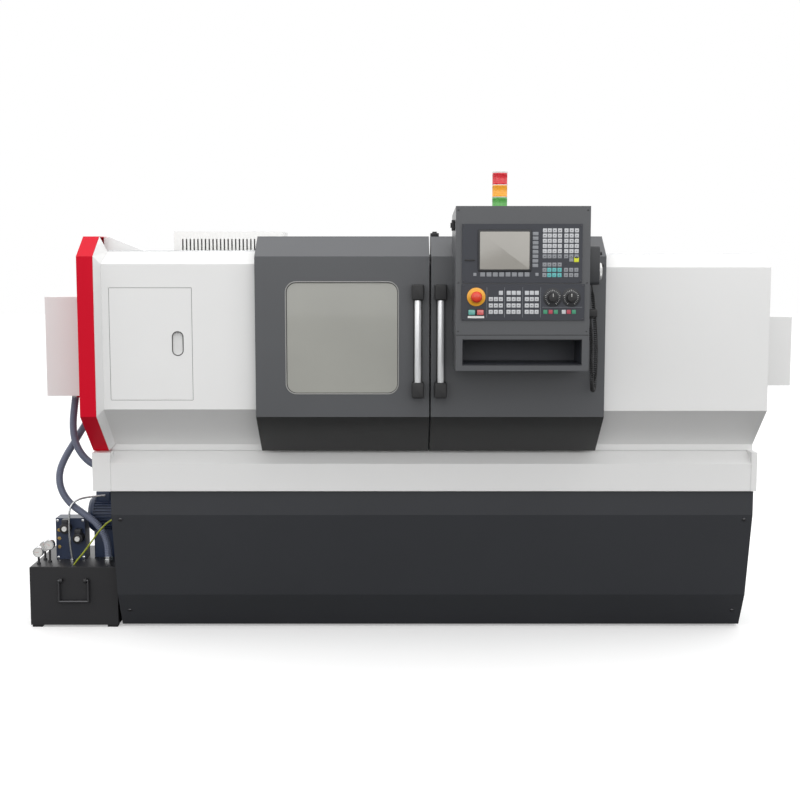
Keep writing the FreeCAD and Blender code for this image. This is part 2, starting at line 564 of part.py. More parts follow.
def make_end_covers():
    """Cover over the chuck cylinder on the left, hood on the right."""
    wall = "sheet"
    left = "guard_left - cyl_cover_width"
    back = "cyl_cover_front + cyl_cover_depth"
    top = "cyl_cover_low + cyl_cover_height"
    shell = block("cyl_cover_shell", (left, "guard_left"), ("cyl_cover_front", back),
                  ("cyl_cover_low", top))
    room = block("cyl_cover_room", (f"{left} + {wall}", "guard_left + 5"),
                 (f"cyl_cover_front + {wall}", f"{back} - {wall}"),
                 (f"cyl_cover_low + {wall}", f"{top} - {wall}"))
    cut("cylinder_cover", shell, room)
    right = "guard_right + hood_width"
    shell = block("hood_shell", ("guard_right", right), ("hood_front", "hood_front + hood_depth"),
                  ("hood_low", "hood_low + hood_height"))
    room = block("hood_room", ("guard_right - 5", f"{right} - {wall}"),
                 (f"hood_front + {wall}", f"hood_front + hood_depth - {wall}"),
                 (f"hood_low + {wall}", f"hood_low + hood_height - {wall}"))
    cut("end_hood", shell, room)


def make_guard():
    """Red end frame, both fixed covers, the rear guard with its roof, and the door rails."""
    step = "wedge_front + wedge_depth"
    outer = ([("guard_back", "head_roof"), (step, "head_roof"), (step, "door_top")] + door_fold()
             + [("guard_back", "door_bottom")])
    inner = door_fold("sheet", "0")
    inner[0] = ("door_top_y", "door_top - sheet")
    inner[-1] = ("door_low_y", "door_bottom + sheet")
    inner = ([("guard_back - sheet", "head_roof - sheet"), (f"{step} - sheet", "head_roof - sheet"),
              (f"{step} - sheet", "door_top - sheet")] + inner
             + [("guard_back - sheet", "door_bottom + sheet")])
    shell = section("frame_shell", outer, ("guard_left", "frame_right"),
                    [(inner, ("guard_left + sheet", "frame_right"))])
    hole = rod("frame_passage", "x", ("guard_left - 5", "guard_left + 10"),
               ("spindle_y", "spindle_z"), "passage_radius")
    foot = block("frame_foot", ("guard_left + sheet", "frame_right"), ("-245", "guard_back"),
                 ("tray_top", "door_bottom + sheet / 2"))
    cut("end_frame", join("frame_body", shell, foot), hole)

    shell = section("head_shell", cover_fold("head_low", "head_high", "head_roof", "head_top_depth"),
                    ("frame_right", "head_end"),
                    [(cover_fold("head_low", "head_high", "head_roof", "head_top_depth", "sheet"),
                      ("frame_right", "head_end - sheet"))])
    wedge = section("head_wedge",
                    [("frame_right", "head_roof - 1"), ("frame_right", "head_roof + wedge_rise"),
                     ("frame_right + wedge_flat", "head_roof + wedge_rise"),
                     ("frame_right + wedge_length", "head_roof"),
                     ("frame_right + wedge_length", "head_roof - 1")],
                    ("-wedge_front - wedge_depth", "-wedge_front"), roles="XZ")
    opening = block("access_opening", ("access_left + 12", "access_left + access_width - 12"),
                    ("cover_front - 5", "cover_front + 8"),
                    ("access_low + 12", "access_low + access_height - 12"))
    seat = block("access_seat", ("access_left - access_gap", "access_left + access_width + access_gap"),
                 ("cover_front - 5", "cover_front + access_thick + slide_gap"),
                 ("access_low - access_gap", "access_low + access_height + access_gap"))
    ledge = block("access_ledge", ("access_left - 20", "access_left + access_width + 20"),
                  ("cover_front + 1", "cover_front + access_thick + slide_gap + sheet"),
                  ("access_low - 20", "access_low + access_height + 20"))
    wall_hole = rod("chuck_passage", "x", ("head_end - 10", "head_end + 5"),
                    ("spindle_y", "spindle_z"), "chuck_radius + 25")
    screw_hole = block("screw_passage", ("head_end - 10", "head_end + 5"),
                       ("screw_y - 40", "way_back + 10"), ("tray_top - 5", "bed_top + 5"))
    cut("headstock_cover", join("head_panel", shell, wedge, ledge), opening, seat, wall_hole,
        screw_hole)

    shell = section("tail_shell", cover_fold("tail_low", "tail_high", "tail_roof", "tail_top_depth"),
                    ("tail_start", "guard_right"),
                    [(cover_fold("tail_low", "tail_high", "tail_roof", "tail_top_depth", "sheet"),
                      ("tail_start", "guard_right - sheet"))])
    duct = block("hood_passage", ("guard_right - 10", "guard_right + 5"),
                 ("hood_front + 20", "hood_front + hood_depth - 20"),
                 ("hood_low + 20", "hood_low + hood_height - 20"))
    cut("tailstock_cover", shell, duct)

    wall = block("guard_wall", ("head_end", "tail_start"), ("guard_back - sheet", "guard_back"),
                 ("tray_top", "tail_roof"))
    roof = block("guard_roof", ("head_end", "tail_start"), ("rail_front - 4", "guard_back"),
                 ("tail_roof - sheet", "tail_roof"))
    beam = block("guard_beam", ("head_end", "tail_start"), ("rail_front - 4", "rail_front - 1"),
                 ("tail_roof - 40", "tail_roof"))
    join("rear_guard", wall, roof, beam)

    rails = []
    for side, start, end, base in (("left", "frame_right + 20", "door_split - 2", "head_roof"),
                                   ("right", "door_split + 2", "guard_right - 40", "tail_roof")):
        rails.append(block(f"rail_{side}", (start, end), ("rail_front", "rail_front + rail_width"),
                           (base, f"{base} + rail_height")))
    riser = block("rail_riser", ("head_end", "door_split - 2"),
                  ("rail_front", "rail_front + rail_width"), ("tail_roof", "head_roof + 1"))
    join("door_rails", join("rail_left_whole", rails[0], riser), rails[1])


def make_access_door():
    """Flat leaf of the headstock cover, with its hinge barrels and finger pull."""
    leaf = block("access_leaf", ("access_left", "access_left + access_width"),
                 ("cover_front", "cover_front + access_thick"),
                 ("access_low", "access_low + access_height"))
    slot = rod("access_pull_hole", "y", ("cover_front - 5", "cover_front + 8"),
               ("access_left + pull_left + pull_width / 2", "access_low + pull_low + pull_width / 2"),
               "pull_width / 2")
    slot_top = rod("access_pull_top", "y", ("cover_front - 5", "cover_front + 8"),
                   ("access_left + pull_left + pull_width / 2",
                    "access_low + pull_low + pull_height - pull_width / 2"), "pull_width / 2")
    slot_mid = block("access_pull_middle",
                     ("access_left + pull_left", "access_left + pull_left + pull_width"),
                     ("cover_front - 5", "cover_front + 8"),
                     ("access_low + pull_low + pull_width / 2",
                      "access_low + pull_low + pull_height - pull_width / 2"))
    cut("access_door", leaf, slot, slot_top, slot_mid)


def make_door(side, left, right, rail_base):
    """One sliding door: a folded sheet with end returns, hung from its rail by a hook."""
    inside = [door_fold("sheet", "10"), door_fold("door_return", "10")]
    inner = (f"{left} + sheet", f"{right} - sheet")
    shell = section(f"{side}_fold", door_fold(), (left, right),
                    [(inside[0], inner), (inside[1], (left, right))])
    back = "rail_front + 9"
    flange = block(f"{side}_flange", (left, right), ("door_top_y - 2", back),
                   ("door_top - sheet", "door_top"))
    hook = block(f"{side}_hook", (left, right), (f"{back} - sheet", back),
                 (f"{rail_base} + rail_height + slide_gap", "door_top"))
    return shell, flange, hook


def make_handle(side, x):
    """A tube between two end brackets, standing off the door's front."""
    top = "handle_low + handle_length"
    tube = rod(f"{side}_tube", "z", ("handle_low", top),
               (x, "door_front - handle_reach"), "handle_radius")
    ends = []
    for end, low in (("low", "handle_low - bracket_height"), ("high", top)):
        ends.append(block(f"{side}_bracket_{end}", (f"{x} - bracket_width / 2", f"{x} + bracket_width / 2"),
                          ("door_front - bracket_depth", "door_front"), (low, f"{low} + bracket_height")))
    join(f"{side}_handle", tube, *ends)


def make_left_door():
    """Left door with its window: an opening with round corners, and a pane behind it."""
    shell, flange, hook = make_door("left_door", "left_door_left", "left_door_right", "head_roof")
    right, top = "window_x + window_width", "window_z + window_height"
    depth = ("door_front - 5", "door_front + sheet + 2")
    inner_x = ("window_x + window_corner", f"{right} - window_corner")
    inner_z = ("window_z + window_corner", f"{top} - window_corner")
    tools = [block("window_wide", ("window_x", right), depth, inner_z),
             block("window_tall", inner_x, depth, ("window_z", top))]
    for column in range(2):
        for line in range(2):
            tools.append(rod(f"window_corner_{column}{line}", "y", depth,
                             (inner_x[column], inner_z[line]), "window_corner"))
    cut("left_door_sheet", join("left_door_whole", shell, flange, hook), *tools)
    block("window_pane", ("window_x - pane_lap", f"{right} + pane_lap"),
          ("door_front + sheet", "door_front + sheet + pane_thick"),
          ("window_z - pane_lap", f"{top} + pane_lap"))
    make_handle("left", "left_door_right - handle_inset")


def make_right_door():
    """Right door with its handle."""
    shell, flange, hook = make_door("right_door", "right_door_left", "right_door_right",
                                    "tail_roof")
    join("right_door_sheet", shell, flange, hook)
    make_handle("right", "right_door_left + handle_inset - 8")


def make_operator_box():
    """Operator box on the right door, its two panels and the document pocket below it."""
    slope = "(door_top - door_high) / door_top_depth"
    lift = "box_lift"
    corners = [("box_front", "box_low"), ("box_front", "box_top"),
               ("box_back", "box_top - box_back_drop"),
               ("box_back", f"door_high + (box_back - door_front) * {slope} + {lift}"),
               ("door_front", f"door_high + {lift}"), ("door_front", "box_low")]
    wall = "box_wall"
    inner = [(f"box_front + {wall}", f"box_low + {wall}"),
             (f"box_front + {wall}", f"box_top - {wall}"),
             (f"box_back - {wall}", f"box_top - box_back_drop - {wall}"),
             (f"box_back - {wall}", f"door_high + (box_back - door_front) * {slope} + {lift} + {wall}"),
             (f"door_front - {wall}", f"door_high + {lift} + {wall}"),
             (f"door_front - {wall}", f"box_low + {wall}")]
    shell = section("box_shell", corners, ("box_left", "box_right"),
                    [(inner, (f"box_left + {wall}", f"box_right - {wall}"))])
    openings = []
    for name, x, width, z, height in (
            ("screen", "screen_x", "screen_width", "screen_z", "screen_height"),
            ("panel", "panel_x", "panel_width", "panel_z", "panel_height")):
        inset = "(housing_inset - housing_gap)"
        openings.append(block(f"{name}_opening", (f"{x} + {inset}", f"{x} + {width} - {inset}"),
                              ("box_front - 5", "box_front + 10"),
                              (f"{z} + {inset}", f"{z} + {height} - {inset}")))
    cut("control_box", shell, *openings)

    units = {}
    for name, x, width, z, height in (
            ("screen", "screen_x", "screen_width", "screen_z", "screen_height"),
            ("panel", "panel_x", "panel_width", "panel_z", "panel_height")):
        plate = block(f"{name}_plate", (x, f"{x} + {width}"), ("box_front - bezel", "box_front"),
                      (z, f"{z} + {height}"))
        housing = block(f"{name}_housing", (f"{x} + housing_inset", f"{x} + {width} - housing_inset"),
                        ("box_front - 1", "box_front + housing_deep"),
                        (f"{z} + housing_inset", f"{z} + {height} - housing_inset"))
        units[name] = (plate, housing)
    join("screen_unit", *units["screen"])
    pits = make_controls()
    cut("machine_panel", join("panel_solid", *units["panel"]), *pits)

    mouth = block("pocket_mouth", ("box_left + pocket_rim", "box_right - pocket_rim"),
                  ("box_front - 5", "box_front + pocket_deep"),
                  ("pocket_low + pocket_lip", "pocket_low + pocket_lip + pocket_mouth"))
    case = block("pocket_case", ("box_left + 2", "box_right"), ("box_front", "door_front"),
                 ("pocket_low", "box_low"))
    cut("document_pocket", case, mouth)


def make_controls():
    """Stop mushroom, two turning knobs and two push buttons; their pits are given back."""
    gap = "running_gap"
    x, z = "panel_x + estop_x", "panel_z + estop_z"
    head = rod("estop_head", "y", ("panel_face - estop_reach", "panel_face - estop_travel - 8"),
               (x, z), "estop_radius")
    shaft = rod("estop_shaft_rod", "y", ("panel_face - estop_travel - 10", "panel_face + shaft_deep - 8"),
                (x, z), "estop_shaft")
    join("estop_button", head, shaft)
    pits = [rod("estop_pit", "y", ("panel_face - 5", "panel_face + shaft_deep"), (x, z),
                f"estop_shaft + {gap}")]
    for number, name in enumerate(("spindle_knob", "feed_knob")):
        x, z = f"panel_x + knob_first + knob_pitch * {number}", "panel_z + knob_z"
        head = rod(f"{name}_cap", "y", ("panel_face - slide_gap - knob_height", "panel_face - slide_gap"),
                   (x, z), "knob_radius")
        shaft = rod(f"{name}_shaft", "y", ("panel_face - slide_gap - 2", "panel_face + shaft_deep - 4"),
                    (x, z), "knob_shaft")
        join(name, head, shaft)
        pits.append(rod(f"{name}_pit", "y", ("panel_face - 5", "panel_face + shaft_deep"), (x, z),
                        f"knob_shaft + {gap}"))
    for number, name in enumerate(("start_button", "stop_button")):
        x = f"panel_x + start_x + button_pitch * {number}"
        z = "panel_z + button_z"
        block(name, (x, f"{x} + button_width"), ("panel_face - button_stand", "panel_face + button_deep - 5"),
              (z, f"{z} + button_height"))
        play = "button_play"
        pits.append(block(f"{name}_pit", (f"{x} - {play}", f"{x} + button_width + {play}"),
                          ("panel_face - 5", "panel_face + button_deep"),
                          (f"{z} - {play}", f"{z} + button_height + {play}")))
    return pits


def make_lamp():
    """Signal lamp: a foot on the box's roof, three lenses and a cap, one above the other."""
    place = ("lamp_x", "lamp_y")
    roof = "box_top - box_back_drop * (lamp_y - lamp_radius - box_front) / (box_back - box_front)"
    stack = [block("lamp_foot_plate", ("lamp_x - lamp_radius", "lamp_x + lamp_radius"),
                   ("lamp_y - lamp_radius", "lamp_y + lamp_radius"), (roof, f"{roof} + lamp_foot"))]
    for number in range(int(SIZES["lamp_lenses"])):
        low = f"{roof} + lamp_foot + (lens_height + lens_gap) * {number} + lens_gap"
        stack.append(rod(f"lamp_lens_{number}", "z", (low, f"{low} + lens_height"), place,
                         "lamp_radius"))
    top = f"{roof} + lamp_foot + (lens_height + lens_gap) * lamp_lenses + lens_gap"
    stack.append(rod("lamp_cap", "z", (top, f"{top} + 6"), place, "lamp_radius"))
    join("tower_lamp", *stack)


def make_pendant():
    """Hand pendant in its place on the box's right side, its wheel, and the cord's plug."""
    right = "box_right + pendant_width"
    z = "box_low + pendant_low"
    case = block("pendant_body", ("box_right", right),
                 ("pendant_y - pendant_depth / 2", "pendant_y + pendant_depth / 2"),
                 (z, f"{z} + pendant_height"))
    centre = ("pendant_y", f"{z} + wheel_z")
    pit = rod("pendant_pit", "x", (f"{right} - 20", f"{right} + 5"), centre,
              "wheel_shaft + running_gap")
    arm = block("plug_arm", ("box_right", "box_right + 24"), ("pendant_y - 12", "pendant_y + 12"),
                ("plug_z", "plug_z + 20"))
    plug = rod("cord_plug", "z", ("plug_z - plug_length", "plug_z + 10"),
               ("box_right + 24", "pendant_y"), "plug_radius")
    cut("pendant_case", join("pendant_parts", case, arm, plug), pit)
    disc = rod("wheel_disc", "x", (f"{right} + slide_gap", f"{right} + slide_gap + wheel_width"),
               centre, "wheel_radius")
    shaft = rod("wheel_shaft_rod", "x", (f"{right} - 17", f"{right} + 5"), centre, "wheel_shaft")
    join("mpg_wheel", disc, shaft)


def make_hydraulics():
    """Oil tank with its bail handle, pump motor, valve block and three gauges."""
    right = "tank_left + tank_length"
    back = "tank_front + tank_depth"
    top = "tank_low + tank_height"
    wall = "tank_wall"
    shell = block("tank_shell", ("tank_left", right), ("tank_front", back), ("tank_low", top))
    room = block("tank_room", (f"tank_left + {wall}", f"{right} - {wall}"),
                 (f"tank_front + {wall}", f"{back} - {wall}"),
                 (f"tank_low + {wall}", f"{top} - {wall}"))
    lugs = []
    pins = []
    for side, x in (("left", "bail_left"), ("right", "bail_left + bail_width")):
        lug = rod(f"lug_{side}", "x", (f"{x} - lug_width / 2", f"{x} + lug_width / 2"),
                  ("lug_y", "bail_pivot_z"), "lug_half")
        web = block(f"lug_web_{side}", (f"{x} - lug_width / 2", f"{x} + lug_width / 2"),
                    ("lug_y", "tank_front + 1"),
                    ("bail_pivot_z - lug_half * 0.8", "bail_pivot_z + lug_half * 0.8"))
        lugs += [lug, web]
        pins.append(rod(f"lug_bore_{side}", "x", (f"{x} - lug_width", f"{x} + lug_width"),
                        ("lug_y", "bail_pivot_z"), "bail_radius + running_gap"))
    feet = []
    for column, x in enumerate(("tank_left + 5", f"{right} - tank_foot - 5")):
        for line, y in enumerate(("tank_front + 5", f"{back} - tank_foot - 5")):
            feet.append(block(f"tank_foot_{column}{line}", (x, f"{x} + tank_foot"),
                              (y, f"{y} + tank_foot"), ("0", "tank_low + 1")))
    cut("hydraulic_tank", join("tank_solid", cut("tank_hollow", shell, room), *feet, *lugs), *pins)

    stand = "(lug_width / 2 + bail_radius + slide_gap)"
    start, end = f"bail_left - {stand}", f"bail_left + bail_width + {stand}"
    place = ("lug_y", "bail_pivot_z")
    low = "bail_pivot_z - bail_drop"
    arms = []
    for side, x, reach in (("left", start, "bail_left + lug_width / 2"),
                           ("right", end, "bail_left + bail_width - lug_width / 2")):
        first, last = (x, reach) if side == "left" else (reach, x)
        arms.append(rod(f"bail_pin_{side}", "x", (first, last), place, "bail_radius"))
        arms.append(rod(f"bail_arm_{side}", "z", (low, "bail_pivot_z"), (x, "lug_y"),
                        "bail_radius"))
        arms.append(round_end(f"bail_knee_{side}", x, "lug_y", low))
        arms.append(round_end(f"bail_elbow_{side}", x, "lug_y", "bail_pivot_z"))
    arms.append(rod("bail_grip", "x", (start, end), ("lug_y", low), "bail_radius"))
    join("tank_bail", *arms)

    end = "pump_left + pump_length"
    centre = "pump_top - pump_radius"
    barrel = rod("pump_barrel", "x", ("pump_left", end), ("pump_y", centre), "pump_radius")
    foot = block("pump_stand", ("pump_left + 20", f"{end} - 20"),
                 ("pump_y - pump_foot / 2", "pump_y + pump_foot / 2"), (top, f"{centre} - 20"))
    box_x = "pump_left + 30"
    terminal = block("pump_terminal", (box_x, f"{box_x} + terminal_length"),
                     ("pump_y - 40", "pump_y + 20"), (f"{centre} + 20", "pump_top + terminal_height"))
    join("pump_motor", barrel, foot, terminal)

    body = block("valve_body", ("valve_left", "valve_left + valve_width"),
                 ("valve_front", "valve_front + valve_depth"), (top, "valve_top"))
    coils = []
    for number, (x, z) in enumerate((("valve_left + 46", "valve_top - 37"),
                                     ("valve_left + 98", "valve_top - 78"))):
        coils.append(rod(f"valve_coil_{number}", "y", ("valve_front - solenoid_reach", "valve_front + 5"),
                         (x, z), "solenoid_radius"))
    join("valve_block", body, *coils)

    dials = []
    for number, (x, y, rise) in enumerate((("25", "50", "54"), ("60", "90", "75"),
                                           ("30", "130", "60"))):
        place_x, place_y = f"tank_left + {x}", f"tank_front + {y}"
        dial = rod(f"gauge_dial_{number}", "y", (f"{place_y} - gauge_thick / 2", f"{place_y} + gauge_thick / 2"),
                   (place_x, f"{top} + {rise}"), "gauge_radius")
        stem = rod(f"gauge_stem_{number}", "z", (top, f"{top} + {rise}"), (place_x, place_y),
                   "gauge_stem")
        dials.append(join(f"gauge_{number}", dial, stem))
    join("pressure_gauges", *dials)


def round_end(label, x, y, z):
    """A ball that rounds the corner between two rods of the bail."""
    piece = DOC.addObject("Part::Sphere", label)
    return bind(piece, Radius="bail_radius", x=x, y=y, z=z)


def make_cabinet():
    """Electrical cabinet behind the machine, its vented cowl on top and its hinged door."""
    right = "cabinet_left + cabinet_width"
    front, back = "tray_back", "tray_back + cabinet_depth"
    wall = "cabinet_wall"
    shell = block("cabinet_shell", ("cabinet_left", right), (front, back),
                  ("cabinet_low", "cabinet_top"))
    room = block("cabinet_room", (f"cabinet_left + {wall}", f"{right} - {wall}"),
                 (f"{front} + {wall}", f"{back} - {wall}"),
                 (f"cabinet_low + {wall}", f"cabinet_top - {wall}"))
    mouth = block("cabinet_mouth", ("cabinet_left + cabinet_lip", f"{right} - cabinet_lip"),
                  (f"{back} - {wall} - 5", f"{back} + 5"),
                  ("cabinet_low + cabinet_lip", "cabinet_top - cabinet_lip"))
    plinth = block("cabinet_plinth", ("cabinet_left + 20", f"{right} - 20"),
                   (f"{front} + 20", f"{back} - 20"), ("0", "cabinet_low + 1"))
    cowl = block("cowl_shell", ("cowl_left", "cowl_left + cowl_width"),
                 ("cowl_front", "cowl_front + cowl_depth"),
                 ("cabinet_top - 1", "cabinet_top + cowl_height"))
    cowl_room = block("cowl_room", (f"cowl_left + {wall}", f"cowl_left + cowl_width - {wall}"),
                      (f"cowl_front + {wall}", f"cowl_front + cowl_depth - {wall}"),
                      ("cabinet_top", f"cabinet_top + cowl_height - {wall}"))
    vents = []
    for number in range(int(SIZES["slots"])):
        x = f"cowl_left + slot_first + slot_pitch * {number}"
        vents.append(block(f"vent_{number}", (x, f"{x} + slot_wide"),
                           ("cowl_front - 5", "cowl_front + 10"),
                           ("cabinet_top + slot_low", "cabinet_top + slot_low + slot_tall")))
    join("electrical_cabinet", cut("cabinet_hollow", shell, room, mouth), plinth,
         cut("cowl_hollow", cowl, cowl_room, *vents))
    edge = "leaf_gap"
    block("cabinet_door", ("cabinet_left + leaf_gap", f"{right} - {edge}"),
          (f"{back} + slide_gap", f"{back} + slide_gap + leaf_thick"),
          (f"cabinet_low + {edge}", f"cabinet_top - {edge}"))


def route_tube(label, points, diameter):
    """A tube along straight runs joined by arcs, each as large as its two runs allow."""
    spots = [V(*point) for point in points]
    edges = []
    start = spots[0]
    radii = []
    for before, corner, after in zip(spots, spots[1:], spots[2:]):
        into, out = (corner - before), (after - corner)
        turn = into.getAngle(out)
        reach = 0.45 * min(into.Length, out.Length)
        radius = reach / math.tan(turn / 2)
        first = corner - into.normalize() * reach
        last = corner + out.normalize() * reach
        bisector = (last + first) * 0.5 - corner
        middle = corner + bisector.normalize() * (radius / math.cos(turn / 2) - radius)
        edges.append(Part.LineSegment(start, first).toShape())
        edges.append(Part.Arc(first, middle, last).toShape())
        start = last
        radii.append(radius)
    edges.append(Part.LineSegment(start, spots[-1]).toShape())
    path = Part.Wire(edges)
    circle = Part.Circle(spots[0], spots[1] - spots[0], diameter / 2)
    ring = Part.Wire([circle.toShape()])
    tube = DOC.addObject("Part::Feature", label)
    tube.Shape = path.makePipeShell([ring], True, False)
    wanted = math.pi * diameter ** 2 / 4 * path.Length
    print(f"{label}: length {path.Length:.1f}, radii", [round(radius) for radius in radii],
          f"volume off by {abs(tube.Shape.Volume / wanted - 1):.5f}")


def make_cords():
    """Two oil hoses, the earth wire and the pendant's curly cord."""
    hose, wire = value("hose_diameter"), value("wire_diameter")
    route_tube("cylinder_hose", [(-1326, -80, 948), (-1336, -82, 880), (-1342, -86, 812),
                                 (-1334, -90, 744), (-1304, -88, 686), (-1258, -80, 646),
                                 (-1212, -70, 630)], hose)
    route_tube("drain_hose", [(-1215, -20, 893), (-1262, -22, 866), (-1306, -26, 812),
                              (-1346, -30, 745), (-1388, -34, 680), (-1416, -38, 615),
                              (-1412, -40, 545), (-1374, -42, 485), (-1316, -46, 443),
                              (-1262, -52, 405), (-1226, -56, 348), (-1216, -58, 290),
                              (-1216, -60, 246)], hose)
    route_tube("earth_wire", [(-1146, -150, 452), (-1184, -152, 440), (-1222, -152, 405),
                              (-1262, -148, 352), (-1300, -140, 300), (-1330, -130, 268),
                              (-1345, -122, 246)], wire)
    route_tube("pendant_cord", [(667, -590, 1266), (668, -594, 1215), (672, -600, 1160),
                                (668, -618, 1100), (668, -620, 1048), (676, -590, 1002),
                                (690, -542, 1008), (696, -528, 1062), (694, -548, 1135),
                                (688, -572, 1215), (678, -584, 1300), (668, -590, 1388)], value("curl_diameter"))


NODES = """machine_base front_apron levelling_feet bed_tray lathe_bed headstock spindle_bearings
main_motor drive_belt headstock_cover end_frame cylinder_cover tailstock_cover end_hood rear_guard
door_rails electrical_cabinet z_motor hydraulic_tank pump_motor valve_block pressure_gauges
cylinder_hose drain_hose earth_wire left_door_sheet window_pane left_handle right_door_sheet
right_handle control_box document_pocket screen_unit machine_panel tower_lamp pendant_case
pendant_cord access_door estop_button feed_knob spindle_knob start_button stop_button mpg_wheel
spindle chuck_body rotary_cylinder jaw_1 jaw_2 jaw_3 motor_pulley saddle z_screw cross_slide
turret_head tailstock_body quill live_centre cabinet_door tank_bail""".split()


def write_parts():
    """Check every object of the document, then write each node's STEP file."""
    DOC.recompute()
    for piece in DOC.Objects:
        if {"Invalid", "Error"} & set(piece.State):
            raise RuntimeError(f"{piece.Label} failed: {piece.State}")
    os.makedirs("parts", exist_ok=True)
    for name in NODES:
        shape = DOC.getObjectsByLabel(name)[0].Shape
        if shape.isNull() or not shape.isValid() or not shape.Solids:
            raise RuntimeError(f"{name} has no sound shape")
        shape.exportStep(f"parts/{name}.step")
        print(f"{name}: {len(shape.Solids)} solid(s), {shape.Volume / 1e6:.3f} litres")


make_base()
make_bed()
make_headstock()
make_drive()
make_carriage()
make_tailstock()
make_end_covers()
make_guard()
make_access_door()
make_left_door()
make_right_door()
make_operator_box()
make_lamp()
make_pendant()
make_hydraulics()
make_cabinet()
make_cords()
write_parts()
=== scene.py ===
# %% [markdown]
# # A CNC turning lathe
# The machine is a long white guard with two dark sliding doors over a folded apron. Its frame,
# every sheet, shaft and joint of it, is already there: this script dresses it. It gives each
# surface its finish, and models what makes a machine look real: keys, knobs, lenses, hoses,
# screws and cords. The frame comes first, because every place is read from it.
# %% Load the frame
import math
import bpy
import numpy as np
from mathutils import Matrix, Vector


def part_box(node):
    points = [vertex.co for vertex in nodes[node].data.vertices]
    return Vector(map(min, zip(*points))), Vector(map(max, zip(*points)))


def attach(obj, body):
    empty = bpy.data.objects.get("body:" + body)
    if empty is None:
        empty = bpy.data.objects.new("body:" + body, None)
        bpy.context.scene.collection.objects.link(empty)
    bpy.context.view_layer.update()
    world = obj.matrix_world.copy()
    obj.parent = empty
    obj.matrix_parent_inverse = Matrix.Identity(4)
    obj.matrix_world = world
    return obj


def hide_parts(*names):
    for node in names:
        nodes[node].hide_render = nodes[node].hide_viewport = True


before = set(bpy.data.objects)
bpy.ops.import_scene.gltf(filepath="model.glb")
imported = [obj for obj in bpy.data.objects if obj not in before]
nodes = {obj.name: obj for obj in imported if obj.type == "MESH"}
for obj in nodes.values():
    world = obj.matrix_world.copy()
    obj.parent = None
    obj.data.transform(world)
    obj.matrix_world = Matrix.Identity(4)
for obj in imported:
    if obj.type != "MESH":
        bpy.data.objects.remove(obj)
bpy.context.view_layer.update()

# %% [markdown]
# ## Camera, floor and light
# Product shots of large machines are taken from the operator's side, a little to the left of the
# middle, with a long lens and soft light from above. The camera looks down by about six degrees,
# so uprights run together a little towards the floor. Large area lights give the sheet metal
# broad soft reflections, and a bright world fills the shadows.
# %% Camera
scene = bpy.context.scene
camera_data = bpy.data.cameras.new("camera")
camera_data.lens = 58.5
camera_data.sensor_width = 36
camera_data.shift_x = 0.0025
camera_data.clip_end = 60
camera = bpy.data.objects.new("camera", camera_data)
camera.location = (-0.030, -5.290, 1.477)
camera.rotation_euler = (math.radians(90 - 6.15), 0, 0)
scene.collection.objects.link(camera)
scene.camera = camera
scene.view_settings.view_transform = "Standard"


# %% Lights and floor
def softbox(name, place, target, size, power):
    """A square area light at a place, turned to face a target."""
    data = bpy.data.lights.new(name, "AREA")
    data.shape = "RECTANGLE"
    data.size, data.size_y = size
    data.energy = power
    light = bpy.data.objects.new(name, data)
    light.location = place
    toward = np.subtract(target, place)
    flat = math.hypot(toward[0], toward[1])
    heading = math.atan2(toward[1], toward[0]) - math.pi / 2
    light.rotation_euler = (math.atan2(flat, -toward[2]), 0, heading)
    scene.collection.objects.link(light)


softbox("overhead", (0, -0.8, 4.6), (0, 0, 0.8), (6, 4), 45)
softbox("front", (0.6, -6.5, 3.0), (0, 0, 0.8), (6, 3), 70)
softbox("left", (-5, -2.5, 2.4), (-0.4, 0, 1), (3, 3), 12)
softbox("right", (5, -2.5, 2.6), (0.4, 0, 1), (3, 3), 12)
softbox("rear", (0, 5.5, 3.6), (0, 0, 1), (5, 3), 40)


def seen_or_lit(tree, seen, lit):
    """A value that is one number to the camera and another to light: a mix on the camera ray."""
    path = tree.nodes.new("ShaderNodeLightPath")
    pick = tree.nodes.new("ShaderNodeMapRange")
    pick.inputs["To Min"].default_value = lit
    pick.inputs["To Max"].default_value = seen
    tree.links.new(path.outputs["Is Camera Ray"], pick.inputs["Value"])
    return pick.outputs["Result"]


world = bpy.data.worlds.new("studio")
world.use_nodes = True
studio = world.node_tree
studio.nodes["Background"].inputs["Color"].default_value = (1, 1, 1, 1)
studio.links.new(seen_or_lit(studio, 1.0, 1.22), studio.nodes["Background"].inputs["Strength"])
scene.world = world

# %% [markdown]
# ## Finishes
# Sheet metal on machine tools is powder coated: an even colour with a fine orange peel, slightly
# glossy, and a soft highlight along each folded edge. One recipe makes all the paints. A broad
# noise shifts the colour a little, a fine noise drives the bump, and a bevelled normal rounds the
# edges, which a folded sheet always has. Everything reads Object coordinates, in metres.


